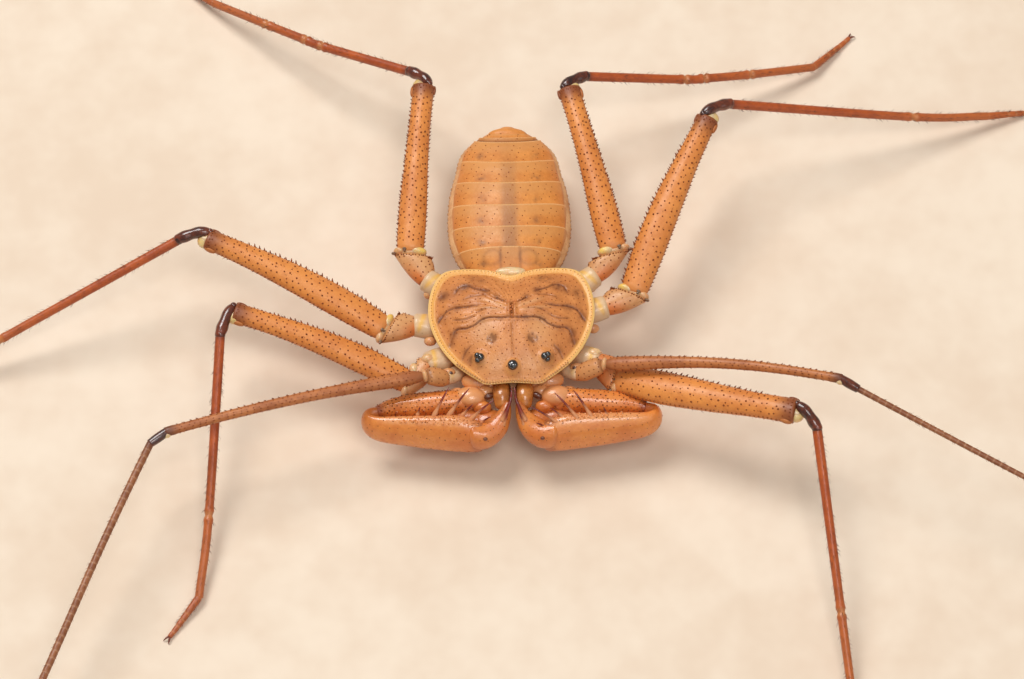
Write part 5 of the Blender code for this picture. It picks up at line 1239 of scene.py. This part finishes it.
def buildJaw(side, sign):
    body = curved(jaws["base"], sign, 12, 24, caps=(0.4, 0.7))["shape"]
    x, _, z = body["points"].T
    # dark is painted shade on the inner faces, in the slot between the two jaws
    # pale is a painted highlight on the jaws' tops
    paint(body, dark=smooth(0.32, 0.2, np.abs(x)), pale=smooth(4.25, 4.5, z) * 0.3)
    fang = paint(curved(jaws["fang"], sign, 8, 12, caps=(0.3, 0.9))["shape"], dark=0.8)
    addPiece("jaw" + side.capitalize(), joinShapes(body, fang), "jaw", "palp", "chelicera_" + side)


for buildPair in (buildPalp, buildJaw):
    for pairSide, pairSign in sides.items():
        buildPair(pairSide, pairSign)
print("palps and jaws")


underside = {
    "trunk": ((0, 1.0, 3.125), (3.9, 3.7, 0.95), 24, 48),
    "palpCoxa": ((0.9, -0.6, 3.0, 0.6, 0.6), (1.35, -1.9, 3.15, 0.8, 0.72), (1.75, -2.75, 3.2, 0.8, 0.66),
                 (2.1, -3.3, 3.25, 0.6, 0.5)),
    # share of the way out, half width and half depth of a coxa, and its greatest height
    "coxa": ((0.0, 0.75, 0.7, 9.0), (0.45, 0.98, 0.9, 3.5), (0.82, 1.1, 0.98, 3.66), (1.0, 1.02, 0.92, 9.0)),
    # breast plates: place from front to back, half width and half length
    "plates": ((-0.9, 0.55, 0.7), (0.5, 0.6, 0.5), (1.6, 0.55, 0.42), (2.6, 0.5, 0.4), (3.5, 0.6, 0.42)),
    "lumps": ((5.16, -0.84, 4.02, 0.46, 0.36, 0.34), (-5.31, -1.02, 4.0, 0.42, 0.34, 0.32),
              (-6.2, -1.65, 3.85, 0.3, 0.4, 0.3), (5.9, -1.4, 3.85, 0.3, 0.36, 0.3)),
    "wedges": ((-4.0, -2.07, 4.1), (3.99, -1.85, 4.1)),
    "knobs": ((430, 293), (592, 289), (430, 340), (594, 330)),
}


def buildCoxae():
    shapes = []
    for end, radius, pair in (*legRoots, *feelerRoots):
        start = np.array([end[0] * 0.2, 1.0 + (end[1] - 1.0) * 0.25, 3.2])
        knots = np.array([(*(start + (end - start) * share), radius * wide, radius * deep)
                          for share, wide, deep, _ in underside["coxa"]])
        knots[:, 2] = np.minimum(knots[:, 2], [most for *_, most in underside["coxa"]])
        knots[1, 2] = min(knots[1, 2], end[2])
        coxa = curved(knots, 1, 12, 24, caps=(0.4, 0.35))
        along, top, flank = coxa["grid"]
        slant = flank * math.copysign(0.035, end[0])
        patch = bell(along - 0.92 - slant, 0.006 + 0.03 * smooth(0.2, 1.0, top))
        patch = patch * smooth(0.1, 0.9, top) * (0.3 if pair == 1 else 0.7)
        # under below is painted shade: the coxae darken on their undersides
        shapes.append(paint(coxa["shape"], yellow=patch, white=smooth(0.72, 0.82, along) * (1 - patch) * 0.9,
                            dark=bell(along - 0.99, 0.008) * smooth(0.2, -0.4, top) * 0.6,
                            under=smooth(0.0, -0.6, top)))
    for sign in (-1, 1):
        coxa = curved(underside["palpCoxa"], sign)
        # painted shade on the underside of the palp coxa
        shapes.append(paint(coxa["shape"], orange=0.35, under=smooth(0.0, -0.6, coxa["grid"][1])))
    trunk = bulb(*underside["trunk"])
    # painted shade on the underside of the trunk
    shapes.append(paint(trunk, under=smooth(0.0, -0.6, trunk["values"]["top"])))
    shapes += [bulb((0, y, 2.32), (wide, deep, 0.22), 10, 20, orange=0.6) for y, wide, deep in underside["plates"]]
    addPiece("coxae", joinShapes(*shapes), "coxa", "membrane", "prosoma")


def buildSoftLumps():
    soft = []
    for lump in underside["lumps"]:
        shape = sideBulb(lump, 1)
        # the peach is partly the lumps' own colour and partly painted shade that deepens towards their undersides
        soft.append(paint(shape, yellow=smooth(0.3, 0.8, (shape["points"][:, 1] - lump[1]) / lump[4]) * 0.5,
                          peach=0.45 + 0.55 * smooth(0.6, -0.4, shape["values"]["top"])))
    for x, y, z in underside["wedges"]:
        soft.append(bulb((x, y, z), (0.42, 0.3, 0.24), orange=0.7))
        soft.append(bulb((x * 0.97, y - 0.12, z + 0.1), 0.14, dark=1.0))
    # glossy brown knobs below the coxae
    soft += [bulb(atPixel(u, v, 3.5), (0.4, 0.3, 0.32), orange=0.55, peach=0.7) for u, v in underside["knobs"]]
    addPiece("softLumps", joinShapes(*soft), "membrane", "membrane")


buildCoxae()
buildSoftLumps()
print("underside")


stageSet = {
    "floorSize": 4.0,
    "floorLook": {"light": (238, 220, 198), "dark": (228, 206, 182), "mottle": 60.0, "roughness": (0.7, 0.8),
                  "bump": 0.0},
    # place, size and energy
    "lights": {"keyLight": ((-0.16, 0.2, 0.42), 0.22, 1.55), "fillLight": ((0.2, -0.35, 0.35), 0.5, 0.5),
               "flashLight": ((0.03, -0.1, 0.34), 0.12, 0.32)},
    "worldColour": (1.0, 0.97, 0.93, 1.0), "worldStrength": 0.28,
}


def addObject(name, data, place=(0, 0, 0), facing=None):
    item = bpy.data.objects.new(name, data)
    item.location = place
    if facing:
        item.rotation_euler = facing.to_track_quat("Z", "Y").to_euler()
    bpy.context.scene.collection.objects.link(item)
    return item


def buildStage():
    half = stageSet["floorSize"] / 2
    mesh = bpy.data.meshes.new("studioFloor")
    mesh.from_pydata([(-half, -half, 0), (half, -half, 0), (half, half, 0), (-half, half, 0)], [], [(0, 1, 2, 3)])
    mesh.materials.append(makeFinish("floorFinish", stageSet["floorLook"]))
    floor = addObject("studioFloor", mesh)
    for name, (place, size, energy) in stageSet["lights"].items():
        data = bpy.data.lights.new(name, "AREA")
        data.size, data.energy = size, energy
        addObject(name, data, place, Vector(place))
    world = bpy.data.worlds.new("studioWorld")
    world.use_nodes = True
    inputs = world.node_tree.nodes["Background"].inputs
    inputs["Color"].default_value = stageSet["worldColour"]
    inputs["Strength"].default_value = stageSet["worldStrength"]
    bpy.context.scene.world = world


def buildCamera():
    data = bpy.data.cameras.new("pictureCamera")
    data.lens, data.sensor_width, data.clip_start = view["lens"], view["sensor"], 0.01
    rise, turn = math.radians(view["elevation"]), math.radians(view["turn"])
    back = Vector((math.sin(turn) * math.cos(rise), -math.cos(turn) * math.cos(rise), math.sin(rise)))
    place = Vector(np.asarray(view["target"]) * 0.001 + shift) + back * view["distance"] * 0.001
    bpy.context.scene.camera = addObject("pictureCamera", data, place, back)


buildStage()
buildCamera()
bpy.context.scene.view_settings.view_transform = "Standard"
bpy.context.view_layer.update()
print("floor, light and camera")
